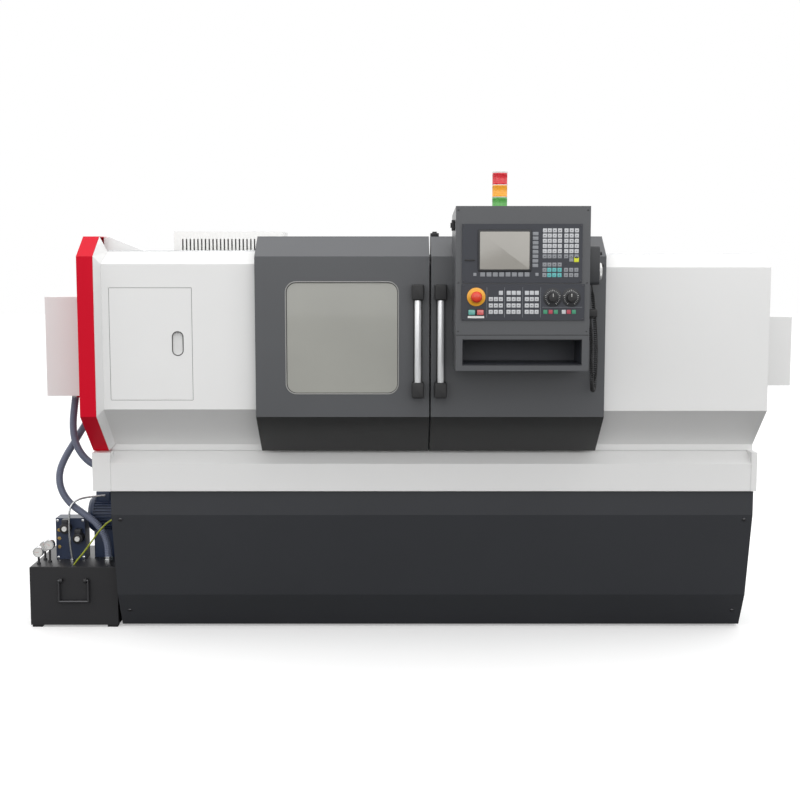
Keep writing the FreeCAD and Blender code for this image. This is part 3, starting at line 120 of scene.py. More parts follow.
# %% Finish recipe
def finish(name, colour, rough=0.42, metal=0.0, peel=0.10, grain=700, mottle=0.04, edge=0.0016,
           coat=0.0, streak=None, glow=0.0, shine=0.5, down_shade=1.0):
    """A coated or ground surface.

    Colour is mixed between a darker and a lighter shade by a broad noise, roughness follows a
    medium noise, and the normal is a bevelled edge disturbed by a fine noise. A streak stretches
    the fine noise along one axis, which gives ground or turned metal. Faces that look down take
    the colour times a factor, a painted shade that darkens the folds facing down.
    """
    material = bpy.data.materials.new(name)
    material.use_nodes = True
    tree = material.node_tree
    shader = tree.nodes["Principled BSDF"]

    def node(kind, **values):
        """A new shader node with its inputs set by name."""
        made = tree.nodes.new("ShaderNode" + kind)
        for socket, value in values.items():
            made.inputs[socket.replace("_", " ")].default_value = value
        return made

    def link(source, output, target, socket):
        """Join an output of one node to an input of another."""
        tree.links.new(source.outputs[output], target.inputs[socket])

    place = node("TexCoord")
    broad = node("TexNoise", Scale=2.3, Detail=6)
    link(place, "Object", broad, "Vector")
    ramp = node("ValToRGB")
    low, high = ramp.color_ramp.elements
    low.position, high.position = 0.3, 0.7
    low.color = (*[part * (1 - mottle) for part in colour], 1)
    high.color = (*[min(1, part * (1 + mottle)) for part in colour], 1)
    link(broad, "Fac", ramp, "Fac")
    link(ramp, "Color", shader, "Base Color")
    # Painted shade: faces that look down are mixed towards black, most where they face straight down.
    if down_shade < 1:
        up = node("SeparateXYZ")
        link(node("NewGeometry"), "Normal", up, "Vector")
        share = node("MapRange", From_Min=-0.1, From_Max=-0.4, To_Max=1 - down_shade)
        link(up, "Z", share, "Value")
        painted_shade = node("Mix")
        painted_shade.data_type = "RGBA"
        painted_shade.inputs["B"].default_value = (0, 0, 0, 1)
        link(share, "Result", painted_shade, "Factor")
        link(ramp, "Color", painted_shade, "A")
        link(painted_shade, "Result", shader, "Base Color")
    fine = node("TexNoise", Scale=grain, Detail=3)
    stretch = node("Mapping", Scale=streak or (1, 1, 1))
    link(place, "Object", stretch, "Vector")
    link(stretch, "Vector", fine, "Vector")
    span = node("MapRange", To_Min=rough * 0.85, To_Max=min(1, rough * 1.15))
    link(fine, "Fac", span, "Value")
    link(span, "Result", shader, "Roughness")
    bump = node("Bump", Strength=peel, Distance=0.0004)
    link(fine, "Fac", bump, "Height")
    if edge:
        bevel = node("Bevel", Radius=edge)
        bevel.samples = 4
        link(bevel, "Normal", bump, "Normal")
    link(bump, "Normal", shader, "Normal")
    shader.inputs["Metallic"].default_value = metal
    shader.inputs["Coat Weight"].default_value = coat
    shader.inputs["Specular IOR Level"].default_value = shine
    if glow:
        shader.inputs["Emission Color"].default_value = (*colour, 1)
        shader.inputs["Emission Strength"].default_value = glow
    return material


white_coat = finish("white_coat", (0.76, 0.76, 0.755), rough=0.38, peel=0.08, mottle=0.012)
# The red paint glows a little, a painted light that keeps its shaded folds as bright as its fronts; the
# frame is no lamp.
red_coat = finish("red_coat", (0.54, 0.003, 0.018), rough=0.4, peel=0.06, mottle=0.05, shine=0.1,
                  glow=0.10)
# The door grey darkens its faces that look down, a painted shade under each fold.
grey_coat = finish("grey_coat", (0.076, 0.079, 0.085), rough=0.36, peel=0.14, grain=900, down_shade=0.08)
apron_coat = finish("apron_coat", (0.036, 0.038, 0.043), rough=0.40, peel=0.2, grain=900, shine=0.4)
black_coat = finish("black_coat", (0.018, 0.018, 0.02), rough=0.4, peel=0.2)
cabinet_coat = finish("cabinet_coat", (0.72, 0.72, 0.71), rough=0.45, peel=0.18, mottle=0.02)
iron_paint = finish("iron_paint", (0.20, 0.24, 0.25), rough=0.5, peel=0.5, grain=260, mottle=0.12)
blue_paint = finish("blue_paint", (0.022, 0.035, 0.075), rough=0.35, peel=0.4, grain=300, mottle=0.2)
soft_black = finish("soft_black", (0.014, 0.014, 0.015), rough=0.55, peel=0.25, edge=0.0008)
dark_plastic = finish("dark_plastic", (0.03, 0.032, 0.036), rough=0.42, peel=0.3, edge=0.0008)
ground_steel = finish("ground_steel", (0.60, 0.61, 0.62), rough=0.26, metal=1, peel=0.35, grain=500,
                      streak=(0.06, 1, 1), mottle=0.08, edge=0.001)
satin_tube = finish("satin_tube", (0.86, 0.87, 0.88), rough=0.30, metal=0.45, peel=0.2, grain=600,
                    streak=(1, 1, 0.04), mottle=0.05, edge=0)
dark_steel = finish("dark_steel", (0.10, 0.10, 0.105), rough=0.38, metal=1, peel=0.3, mottle=0.15)
chrome = finish("chrome", (0.75, 0.76, 0.77), rough=0.12, metal=1, peel=0.05, mottle=0.03)
# The pane's pale base colour is a painted reflection of what the glass shows, not a tint of the glass.
window_glass = finish("window_glass", (0.345, 0.345, 0.315), rough=0.16, peel=0.01, mottle=0.05,
                      grain=60, edge=0, coat=0.6)
seal_rubber = finish("seal_rubber", (0.30, 0.30, 0.29), rough=0.6, peel=0.3, edge=0)
print("finishes:", len(bpy.data.materials))

# %% [markdown]
# The CAD nodes take these finishes as they are: folded sheets, castings and shafts already have
# the right shape, so only their material slot changes.
# %% Finishes on the frame's own pieces
DRESS = {
    white_coat: """headstock_cover tailstock_cover bed_tray cylinder_cover end_hood rear_guard
                   access_door""",
    red_coat: "end_frame",
    grey_coat: "left_door_sheet right_door_sheet control_box document_pocket",
    apron_coat: "front_apron",
    cabinet_coat: "electrical_cabinet cabinet_door",
    iron_paint: "lathe_bed headstock tailstock_body saddle cross_slide machine_base",
    ground_steel: """spindle chuck_body jaw_1 jaw_2 jaw_3 z_screw quill live_centre door_rails
                     spindle_bearings rotary_cylinder motor_pulley levelling_feet""",
    dark_steel: "turret_head tank_bail",
    black_coat: "hydraulic_tank main_motor z_motor",
    soft_black: "drive_belt",
    dark_plastic: "pendant_case",
    blue_paint: "valve_block",
    window_glass: "window_pane",
}


def dress(name, material):
    """Put one material in a node's slots."""
    slots = nodes[name].data.materials
    slots.clear()
    slots.append(material)


for material, names in DRESS.items():
    for name in names.split():
        dress(name, material)

# %% [markdown]
# The floor looks white to the camera, so that it runs into the backdrop with only a soft shadow
# under the machine. To light it is dark, as a workshop floor is, which keeps the folds that face
# down much darker than the ones that face up.
# %% Floor
floor_mesh = bpy.data.meshes.new("floor")
floor_mesh.from_pydata([(-30, -30, 0), (30, -30, 0), (30, 30, 0), (-30, 30, 0)], [], [(0, 1, 2, 3)])
floor = bpy.data.objects.new("floor", floor_mesh)
scene.collection.objects.link(floor)
floor_finish = finish("floor_finish", (0.70, 0.70, 0.70), rough=0.8, peel=0.02, edge=0, mottle=0.004,
                      shine=0.1)
tree = floor_finish.node_tree
shader = tree.nodes["Principled BSDF"]
shader.inputs["Emission Color"].default_value = (1, 1, 1, 1)
tree.links.new(seen_or_lit(tree, 0.34, 0.0), shader.inputs["Emission Strength"])
shade = tree.nodes.new("ShaderNodeMix")
shade.data_type = "RGBA"
shade.inputs["A"].default_value = (0.19, 0.19, 0.19, 1)
tree.links.new(seen_or_lit(tree, 1.0, 0.0), shade.inputs["Factor"])
tree.links.new(tree.nodes["Color Ramp"].outputs["Color"], shade.inputs["B"])
tree.links.new(shade.outputs["Result"], shader.inputs["Base Color"])
floor_mesh.materials.append(floor_finish)

# %% [markdown]
# ## Shapes worked out as arrays
# Small parts of a machine are mostly two kinds of shape: a rounded block, such as a key, a
# bracket or a connector, and a turned part, such as a knob, a lens or a gauge. Both are loops of
# points stacked along an axis, so one mesher serves them all. Many blocks can share one mesh,
# which keeps a field of eighty keys a single light piece.
# %% Mesher
TIP = 1e-4  # radius of the small loop that closes a turned end


def piece_of(name, places, faces, material, body, replaces=(), smooth=True):
    """One object from places and faces, riding a body and standing in for frame nodes."""
    mesh = bpy.data.meshes.new(name)
    mesh.from_pydata(places.tolist(), [], faces)
    mesh.materials.append(material)
    mesh.polygons.foreach_set("use_smooth", [smooth] * len(mesh.polygons))
    piece = bpy.data.objects.new(name, mesh)
    scene.collection.objects.link(piece)
    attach(piece, body)
    if replaces:
        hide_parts(*replaces)
    return piece


def around_loops(rows, columns):
    """Numbers of the four corners of each quad between neighbouring loops, row by row."""
    row, column = np.meshgrid(np.arange(rows), np.arange(columns), indexing="ij")
    start, after = row * columns + column, row * columns + (column + 1) % columns
    return start, after


def build(name, shapes, material, body="root", replaces=(), smooth=True):
    """One object from stacks of closed loops; each stack is an array (loops, points, 3).

    Quads join neighbouring loops, and one flat face closes each end. A stack whose enclosed
    volume comes out negative is turned round, so faces point outwards.
    """
    places, faces, count = [], [], 0
    for loops in shapes:
        loops = np.asarray(loops, float)
        rows, columns = loops.shape[:2]
        middle = loops.mean(axis=(0, 1))
        first, later = loops[:-1] - middle, loops[1:] - middle
        volume = np.einsum("ijk,ijk->", np.cross(first, np.roll(first, -1, axis=1)), later)
        start, after = around_loops(rows - 1, columns)
        quads = np.stack([start, after, after + columns, start + columns], axis=-1).reshape(-1, 4)
        ends = [list(range(columns))[::-1], list(range((rows - 1) * columns, rows * columns))]
        for face in quads.tolist() + ends:
            face = [index + count for index in face]
            faces.append(face if volume > 0 else face[::-1])
        places.append(loops.reshape(-1, 3))
        count += rows * columns
    piece = piece_of(name, np.concatenate(places), faces, material, body, replaces, smooth)
    if smooth:
        piece.data.set_sharp_from_angle(angle=math.radians(38))
    return piece


def build_ring(name, loops, material, body="root"):
    """One closed tube whose last loop joins its first."""
    rows, columns = loops.shape[:2]
    start, after = around_loops(rows, columns)
    total = rows * columns
    faces = [start, (start + columns) % total, (after + columns) % total, after]
    faces = np.stack(faces, axis=-1).reshape(-1, 4).tolist()
    return piece_of(name, loops.reshape(-1, 3), faces, material, body)


def corners(steps):
    """The sign of each corner of a rectangle and the quarter circle that rounds it."""
    turn = np.radians(np.linspace(0, 90, steps + 1))
    quarter = np.concatenate([turn + np.pi / 2 * number for number in range(4)])
    sign = np.repeat([[1, 1], [-1, 1], [-1, -1], [1, -1]], steps + 1, axis=0)
    return sign, np.stack([np.cos(quarter), np.sin(quarter)], axis=-1)


def block(low, high, corner=0.002, edge=0.001, axis=1, steps=4):
    """A rounded block between two corners.

    Its outline square to the axis is a rectangle with quarter circles of the corner radius. Along
    the axis the outline draws in over the last edge length, by edge * (1 - sin), a quarter circle.
    """
    low, high = np.minimum(low, high).astype(float), np.maximum(low, high).astype(float)
    across = [number for number in range(3) if number != axis]
    half = (high - low)[across] / 2
    centre = (high + low)[across] / 2
    corner = max(min(corner, *(half * 0.98)), edge * 1.02)
    sign, circle = corners(steps)
    round_off = np.radians(np.linspace(0, 90, 4))
    inset = edge * (1 - np.sin(round_off))
    depth = edge * (1 - np.cos(round_off))
    levels = np.concatenate([low[axis] + depth, (high[axis] - depth)[::-1]])
    inset = np.concatenate([inset, inset[::-1]])[:, None, None]
    loops = np.empty((len(levels), len(circle), 3))
    loops[..., across] = centre + sign * (half - corner) + (corner - inset) * circle
    loops[..., axis] = levels[:, None]
    return loops


def slab(x, z, half_x, half_z, near, far, *shape, **options):
    """A block about a place in x and z, with half sizes, between two depths."""
    return block((x - half_x, near, z - half_z), (x + half_x, far, z + half_z), *shape, **options)


def turned(centre, axis, profile, sides=48, wave=0):
    """A turned part: each (place along the axis, radius) of its profile swept round the axis.

    A third number in a profile's row is the share of the wave, one value for each side, that is
    added to the radius there: this makes ribs, fins and knurling.
    """
    profile = np.asarray(profile, float)
    angle = np.linspace(0, 2 * np.pi, sides, endpoint=False)
    radius = profile[:, 1:2]
    if profile.shape[1] == 3:
        radius = radius + profile[:, 2:] * wave
    across = [number for number in range(3) if number != axis]
    loops = np.empty((len(profile), sides, 3))
    loops[..., axis] = centre[axis] + profile[:, :1]
    loops[..., across[0]] = centre[across[0]] + radius * np.cos(angle)
    loops[..., across[1]] = centre[across[1]] + radius * np.sin(angle)
    return loops


def ripple(count, sides):
    """The wave cos(count * angle), one value for each side."""
    return np.cos(count * np.linspace(0, 2 * np.pi, sides, endpoint=False))


def solid(profile):
    """A profile closed by a small loop at the place of its first and its last row."""
    return [(profile[0][0], TIP), *profile, (profile[-1][0], TIP)]


def spun(place, axis, profile, sides=48):
    """A turned part whose profile is closed at both ends."""
    return turned(place, axis, solid(profile), sides)


def rounded(start, end, radius, edge):
    """Profile of a plain cylinder between two places with both rims rounded by an edge radius."""
    angle = np.radians(np.linspace(0, 90, 5))
    rim = np.stack([start + edge * (1 - np.cos(angle)), radius - edge * (1 - np.sin(angle))], axis=-1)
    back = np.stack([end - edge * (1 - np.cos(angle)), rim[:, 1]], axis=-1)[::-1]
    return np.concatenate([[(start, TIP)], rim, back, [(end, TIP)]])


def bar(centre, axis, angle, reach, half, levels):
    """A flat bar along a radius about the axis, as two loops of four corners.

    Reach and half hold the distance and the half width at its inner and its outer end.
    """
    along = np.array([math.cos(angle), math.sin(angle)])
    side = np.array([-along[1], along[0]])
    flat = [along * reach[0] - side * half[0], along * reach[1] - side * half[1],
            along * reach[1] + side * half[1], along * reach[0] + side * half[0]]
    across = [number for number in range(3) if number != axis]
    loops = np.empty((2, 4, 3))
    loops[..., axis] = np.array(levels)[:, None]
    loops[..., across] = np.array(flat) + centre
    return loops


def ring_frame(x, z, y, size, corner, width, depth, steps=8):
    """A raised frame lying on a front plane: a rounded rectangle carried round as a tube.

    The tube's section is an ellipse, width across the frame and depth out of the plane.
    """
    sign, circle = corners(steps)
    line = sign * (np.array(size) / 2 - corner) + corner * circle
    section = np.radians(np.arange(0, 360, 30))
    place = line[:, None] + circle[:, None] * (width / 2 * np.cos(section))[None, :, None]
    loops = np.empty((*place.shape[:2], 3))
    loops[..., 0], loops[..., 2] = x + place[..., 0], z + place[..., 1]
    loops[..., 1] = y - depth * np.sin(section)
    return loops


# %% [markdown]
# ## Door handles
# Each handle is a satin steel tube held by two black moulded ends; the black strip behind it is the
# tube's painted shadow.
# The frame has each handle as one solid, so a tube, its two ends and the strip replace it.
# %% Handles
def handle(side, body):
    """A tube with black ends, fitted to the box of the frame's own handle."""
    low, high = map(np.array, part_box(f"{side}_handle"))
    x, base = (low[0] + high[0]) / 2, high[1]
    bracket = 0.058
    length = rounded(low[2] + bracket - 0.004, high[2] - bracket + 0.004, 0.012, 0.001)
    tube = turned((x, low[1] + 0.016, 0), 2, length)
    build(f"{side}_handle_tube", [tube], satin_tube, body, replaces=[f"{side}_handle"])
    ends = []
    for bottom in (low[2], high[2] - bracket):
        ends.append(block((low[0], low[1], bottom), (high[0], base, bottom + bracket), 0.007, 0.005))
    build(f"{side}_handle_ends", ends, soft_black, body)
    # Painted shadow: a black strip on the door behind the tube.
    strip = block((x - 0.016, base - 0.004, low[2] + bracket), (x + 0.016, base, high[2] - bracket),
                  0.002, 0.001)
    build(f"{side}_handle_shadow_strip", [strip], soft_black, body)


handle("left", "left_door")
handle("right", "right_door")

# %% [markdown]
# ## Window
# The pane sits behind the door sheet, in a pale rubber seal that follows the opening's round
# corners. The seal is a rounded rectangle carried round with a flattened round section.
# %% Window seal
pane_low, pane_high = map(np.array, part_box("window_pane"))
LAP = 0.014
opening = (pane_high - pane_low)[[0, 2]] - 2 * LAP
window_x, window_z = (pane_low + pane_high)[[0, 2]] / 2
door_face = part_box("left_door_sheet")[0][1]
outer = ring_frame(window_x, window_z, door_face, opening - 0.003, 0.0385, 0.0045, 0.0016)
build_ring("window_seal", outer, seal_rubber, "left_door")
inner = ring_frame(window_x, window_z, pane_low[1], opening - 0.006, 0.037, 0.006, 0.0015)
build_ring("window_inner_seal", inner, soft_black, "left_door")
print("window opening:", opening)

# %% [markdown]
# ## Operator panel
# The screen unit carries the display, a row and a column of soft keys and a field of letter keys. The
# machine panel under it has the emergency stop, start and stop buttons, two rotary switches and
# groups of keys. Each colour of key is one mesh, so the whole panel is a dozen light pieces. The
# panel is a flat membrane, so its keys stand out by less than a millimetre and have no travel.
# %% Panel finishes
panel_grey = finish("panel_grey", (0.034, 0.037, 0.047), rough=0.45, peel=0.15, grain=1200, edge=0.0006,
                    shine=0.4)
panel_lip = finish("panel_lip", (0.016, 0.017, 0.020), rough=0.42, peel=0.25, grain=1200, edge=0.0006)
key_pale = finish("key_pale", (0.52, 0.53, 0.55), rough=0.5, peel=0.1, edge=0)
key_mid = finish("key_mid", (0.24, 0.25, 0.27), rough=0.5, peel=0.1, edge=0)
key_green, key_red, key_teal, key_lime = [
    finish(f"key_{label}", colour, rough=0.4, peel=0.1, edge=0) for label, colour in (
        ("green", (0.04, 0.26, 0.14)), ("red", (0.42, 0.05, 0.08)), ("teal", (0.10, 0.42, 0.42)),
        ("lime", (0.62, 0.66, 0.02)))]
stop_yellow = finish("stop_yellow", (0.80, 0.37, 0.015), rough=0.35, peel=0.1, edge=0.0004, coat=0.3)
stop_red = finish("stop_red", (0.68, 0.035, 0.008), rough=0.28, peel=0.08, edge=0, coat=0.4)
mark_white = finish("mark_white", (0.75, 0.75, 0.73), rough=0.5, peel=0.05, edge=0)
display = finish("display", (0.34, 0.325, 0.295), rough=0.22, peel=0.01, mottle=0.06, grain=80, edge=0,
                 coat=0.3)
for name in ("screen_unit", "machine_panel"):
    dress(name, panel_grey)

# %% Panel layout
RIDER = "right_door"
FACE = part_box("screen_unit")[0][1]
PANEL_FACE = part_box("machine_panel")[0][1]
MM = 0.001
print("screen face", FACE, "panel face", PANEL_FACE)


def keys(xs, zs, size, face, raised=0.0008):
    """Low rounded key tops centred on every pair of an x and a z, in millimetres."""
    return [slab(x * MM, z * MM, size[0] / 2 * MM, size[1] / 2 * MM, face - raised, face + 0.001,
                 0.0012, 0.0004, steps=2) for x in xs for z in zs]


def bars(xs, zs, half_x, half_z, face):
    """Printed bars on key tops, in millimetres."""
    return [slab(x * MM, z * MM, half_x * MM, half_z * MM, face - 0.00095, face - 0.0006, 0.0006,
                 0.0001, steps=1) for x in xs for z in zs]


SOFT_X = 266 + 22.2 * np.arange(8)
END_X = [239, 456]
SIDE_Z = 1457.8 + 15.75 * np.arange(8)
LETTER_X = [482.4, 499.1, 516.5, 534.9]
NUMBER_X = [557.5, 575.6, 593.7]
LETTER_Z = 1579.2 - 17.95 * np.arange(6)
LOW_Z = [1460.8, 1442.3, 1424.2]
GROUP_X = [[295.5, 313, 330.4], [357.9, 375.4, 392.8], [421.7, 438.8, 456.2]]
GROUP_Z = [1362.2, 1340.3, 1318, 1295.7]
LAST_X = [486.9, 505.7, 523.9, 551.7, 569.1, 587.2]

# %% Display and its soft keys
frame_low, frame_high = (0.2485, FACE - 0.0045, 1.4365), (0.4365, FACE + 0.001, 1.5825)
build("display_bezel", [block(frame_low, frame_high, 0.006, 0.0025)], panel_lip, RIDER)
glass = block((0.2560, FACE - 0.0052, 1.4440), (0.4290, FACE - 0.0030, 1.5750), 0.003, 0.0004)
build("display_glass", [glass], display, RIDER)
KEY = (14.4, 14.0)
soft = keys(SOFT_X, [1426.5], (17, 15), FACE) + keys(END_X, [1426.5], (11, 11), FACE)
soft += keys([450], SIDE_Z, (20, 12), FACE)
build("soft_keys", soft, key_mid, RIDER)
build("letter_keys", keys(LETTER_X + NUMBER_X, LETTER_Z[:5], KEY, FACE), key_pale, RIDER)
grey = keys(LETTER_X + NUMBER_X, LETTER_Z[5:], KEY, FACE) + keys(LETTER_X, LOW_Z[:1], KEY, FACE)
grey += keys(LETTER_X[:1], LOW_Z[1:], KEY, FACE) + keys(NUMBER_X, LOW_Z[1:], KEY, FACE)
build("grey_keys", grey + keys(NUMBER_X[1:2], [1478], KEY, FACE), key_mid, RIDER)
build("teal_keys", keys(LETTER_X[1:], LOW_Z[1:], KEY, FACE), key_teal, RIDER)
build("lime_key", keys(NUMBER_X[2:], [1478], (17, 17), FACE), key_lime, RIDER)

# %% [markdown]
# Every key has a short printed mark. Plain bars stand in for letters and signs, since a real
# legend would name a make.
# %% Key marks
marks = []
for xs, zs in ((LETTER_X + NUMBER_X, LETTER_Z), (LETTER_X + NUMBER_X, LOW_Z)):
    for column, x in enumerate(xs):
        for line, z in enumerate(zs):
            width = 3.2 + 2.4 * ((column * 5 + line * 3) % 4) / 3
            marks += bars([x], [z], width / 2, 1.1, FACE)
build("key_marks", marks, soft_black, RIDER, smooth=False)
slot = [block((0.2030, FACE - 0.0030, 1.4735), (0.2385, FACE + 0.001, 1.4785), 0.0020, 0.001)]
build("card_slot", slot, soft_black, RIDER)

# %% Machine panel keys
group = []
for number, xs in enumerate(GROUP_X):
    group += keys(xs, GROUP_Z[1:], (14.4, 14.4), PANEL_FACE)
    group += keys(xs if number else xs[2:], GROUP_Z[:1], (14.4, 14.4), PANEL_FACE)
build("group_keys", group, key_pale, RIDER)
marks = [mark for xs in GROUP_X for mark in bars(xs, GROUP_Z[1:], 3, 1, PANEL_FACE)]
build("group_marks", marks, soft_black, RIDER, smooth=False)
plate = block((0.2150, PANEL_FACE - 0.0006, 1.2735), (0.2725, PANEL_FACE + 0.001, 1.2815), 0.001, 0.0003)
build("button_plate", [plate], mark_white, RIDER)
row = GROUP_Z[3:]
build("green_keys", keys([LAST_X[0], LAST_X[2], LAST_X[5]], row, (14, 14), PANEL_FACE), key_green, RIDER)
build("red_keys", keys([LAST_X[1], LAST_X[4]], row, (14, 14), PANEL_FACE), key_red, RIDER)
build("white_key", keys([LAST_X[3]], row, (14, 14), PANEL_FACE), key_pale, RIDER)
rules = [slab(x, 1.329, 0.0005, 0.053, PANEL_FACE - 0.0004, PANEL_FACE + 0.001, 0.0004, 0.0002, steps=1)
         for x in (0.2815, 0.3435, 0.4070, 0.4700)]
rules.append(slab(0.546, 1.312, 0.070, 0.0005, PANEL_FACE - 0.0004, PANEL_FACE + 0.001, 0.0004, 0.0002,
                  steps=1))
build("panel_rules", rules, key_mid, RIDER, smooth=False)

# %% [markdown]
# ## Buttons and switches
# The stop button is a wide red mushroom over a yellow collar, so that a hand finds it without
# looking. Each turned profile is a list of places along the button's axis and radii, swept round
# it. Start and stop keys are square caps that travel with their joints.
# %% Emergency stop
stop_low, stop_high = map(np.array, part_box("estop_button"))
stop_x, stop_z = (stop_low + stop_high)[[0, 2]] / 2
stop_out = PANEL_FACE - stop_low[1]
dome = np.radians(np.linspace(0, 86, 12))
cap = np.stack([stop_out - 0.0135 + 0.0135 * np.sin(dome), 0.0198 * np.cos(dome) ** 0.55], axis=-1)
stem = [(0.0065, TIP), (0.0065, 0.0120), (stop_out - 0.0190, 0.0120), (stop_out - 0.0175, 0.0185),
        (stop_out - 0.0155, 0.0198)]
mushroom = [(-out, radius) for out, radius in [*stem, *cap, (stop_out + 1e-5, TIP)]]
build("stop_mushroom", [turned((stop_x, PANEL_FACE, stop_z), 1, mushroom, 64)], stop_red, "estop",
      replaces=["estop_button"])
collar = [(-0.0004, 0.0130), (-0.0004, 0.0325), (-0.0016, 0.0325), (-0.0026, 0.0315), (-0.0030, 0.0300),
          (-0.0030, 0.0185), (-0.0070, 0.0178), (-0.0078, 0.0168), (-0.0078, 0.0140), (-0.0072, 0.0130)]
ring = turned((stop_x, PANEL_FACE, stop_z), 1, collar, 64).transpose(1, 0, 2)
build_ring("stop_collar", ring, stop_yellow, RIDER)

# %% Rotary switches
def dial(node, body, label):
    """A ridged knob with a white pointer, over a printed scale of ticks."""
    low, high = map(np.array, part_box(node))
    x, z = (low + high)[[0, 2]] / 2
    radius = (high - low)[0] / 2
    skirt = radius / 1.06
    out = PANEL_FACE - low[1] - 0.0005
    knob = [(0.001, skirt * 0.7, 0), (-0.0015, radius, 0), (-0.003, radius, 0),
            (-0.0036, skirt * 0.97, 1), (0.0016 - out, skirt * 0.92, 1),
            (0.0004 - out, skirt * 0.88, 0.6), (-out, skirt * 0.80, 0), (-out, TIP, 0)]
    knob = turned((x, PANEL_FACE, z), 1, knob, 144, 0.0007 * ripple(24, 144))
    build(f"{label}_knob_cap", [knob], soft_black, body, replaces=[node])
    pointer = block((x - 0.0009, low[1] - 0.0004, z + radius * 0.15),
                    (x + 0.0009, low[1] + 0.001, z + radius * 0.80), 0.0006, 0.0002, steps=2)
    build(f"{label}_knob_pointer", [pointer], mark_white, body)
    disc = [(0.002, TIP), (-0.0003, 0.0335), (-0.0005, 0.0330), (-0.00051, TIP)]
    build(f"{label}_scale_plate", [turned((x, PANEL_FACE, z), 1, disc, 64)], panel_lip, RIDER)
    ticks = []
    for number in range(21):
        long = number % 5 == 0
        reach = (radius + 0.0045, radius + (0.0100 if long else 0.0080))
        half = [0.00055 if long else 0.0004] * 2
        levels = (PANEL_FACE - 0.0002, PANEL_FACE - 0.0009)
        ticks.append(bar((x, z), 1, math.radians(15 * number - 60), reach, half, levels))
    build(f"{label}_scale_ticks", ticks, mark_white, RIDER, smooth=False)


dial("spindle_knob", "spindle_dial", "spindle")
dial("feed_knob", "feed_dial", "feed")

# %% Start and stop keys
for node, body, colour in (("start_button", "start_key", (0.11, 0.36, 0.32)),
                           ("stop_button", "stop_key", (0.58, 0.11, 0.11))):
    low, high = map(np.array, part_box(node))
    lit = finish(f"{node}_lens", colour, rough=0.25, peel=0.1, edge=0, coat=0.5)
    side = (high - low)[0]
    middle_x, middle_z = (low + high)[[0, 2]] / 2
    half = (high - low) / 2 - 0.0008
    cap = slab(middle_x, middle_z, half[0], half[2], low[1], PANEL_FACE + 0.001, 0.003, 0.0015)
    build(f"{node}_cap", [cap], lit, body, replaces=[node])
    size = (side + 0.0010, side - 0.0040)
    rim = ring_frame(middle_x, middle_z, PANEL_FACE, size, 0.0035, 0.0014, 0.0018)
    build_ring(f"{node}_rim", rim, soft_black, RIDER)
print("buttons done")

# %% [markdown]
# ## Signal lamp
# Three round lenses sit on a pale foot, with a thin pale ring over each. Inside a real lens the
# plastic is ribbed to spread its light, so each outline waves: radius + depth * cos(n * angle).
# %% Signal lamp
lamp_low, lamp_high = map(np.array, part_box("tower_lamp"))
lamp_x, lamp_y = (lamp_low + lamp_high)[:2] / 2
LAMP_R = (lamp_high - lamp_low)[0] / 2
FOOT, PITCH = 0.0035, 0.0435


def lens(bottom, top):
    """A ribbed lens between two heights, with a plain rim at both ends."""
    end, rim, wall = LAMP_R - 0.0015, LAMP_R - 0.0006, LAMP_R - 0.0016
    levels = [(bottom, TIP, 0), (bottom, end, 0), (bottom + 0.0012, rim, 0), (bottom + 0.0045, rim, 0),
              (bottom + 0.0055, wall, 1), (top - 0.0055, wall, 1), (top - 0.0045, rim, 0),
              (top - 0.0012, rim, 0), (top, end, 0), (top, TIP, 0)]
    return turned((lamp_x, lamp_y, 0), 2, levels, 160, 0.0005 * ripple(40, 160))


foot_top = lamp_low[2] + FOOT
for number, (label, colour) in enumerate((("green", (0.08, 0.36, 0.06)), ("amber", (0.85, 0.36, 0.01)),
                                          ("red", (0.62, 0.008, 0.02)))):
    lit = finish(f"lens_{label}", colour, rough=0.2, peel=0.05, edge=0, coat=0.6, glow=0.10)
    bottom = foot_top + PITCH * number
    build(f"lamp_{label}", [lens(bottom + 0.0004, bottom + PITCH - 0.0016)], lit, RIDER,
          replaces=() if number else ["tower_lamp"])
ring = rounded(-0.0018, 0.0006, LAMP_R - 0.0002, 0.0004)
rings = [turned((lamp_x, lamp_y, foot_top + PITCH * number), 2, ring, 64) for number in (1, 2, 3)]
build("lamp_rings", rings, mark_white, RIDER)
top = foot_top + PITCH * 3
stretch = (lamp_high[2] - top) / 0.0090
cap = [(0.0005, TIP), (0.0005, LAMP_R - 0.0006), (0.0055, LAMP_R - 0.0006), (0.0080, LAMP_R - 0.0022),
       (0.0088, LAMP_R - 0.0060), (0.0090, TIP)]
cap = [(height * stretch, radius) for height, radius in cap]
build("lamp_cap", [turned((lamp_x, lamp_y, top), 2, cap, 64)], cabinet_coat, RIDER)
SUNK, STRETCH = 0.002, 1.57  # the foot starts inside the box's roof, so it is made longer
tall = FOOT * STRETCH
foot = [(0, TIP), (0, LAMP_R), (tall * 0.6, LAMP_R), (tall * 0.9, LAMP_R - 0.002), (tall, TIP)]
build("lamp_foot", [turned((lamp_x, lamp_y, lamp_low[2] - SUNK), 2, foot, 64)], cabinet_coat, RIDER)

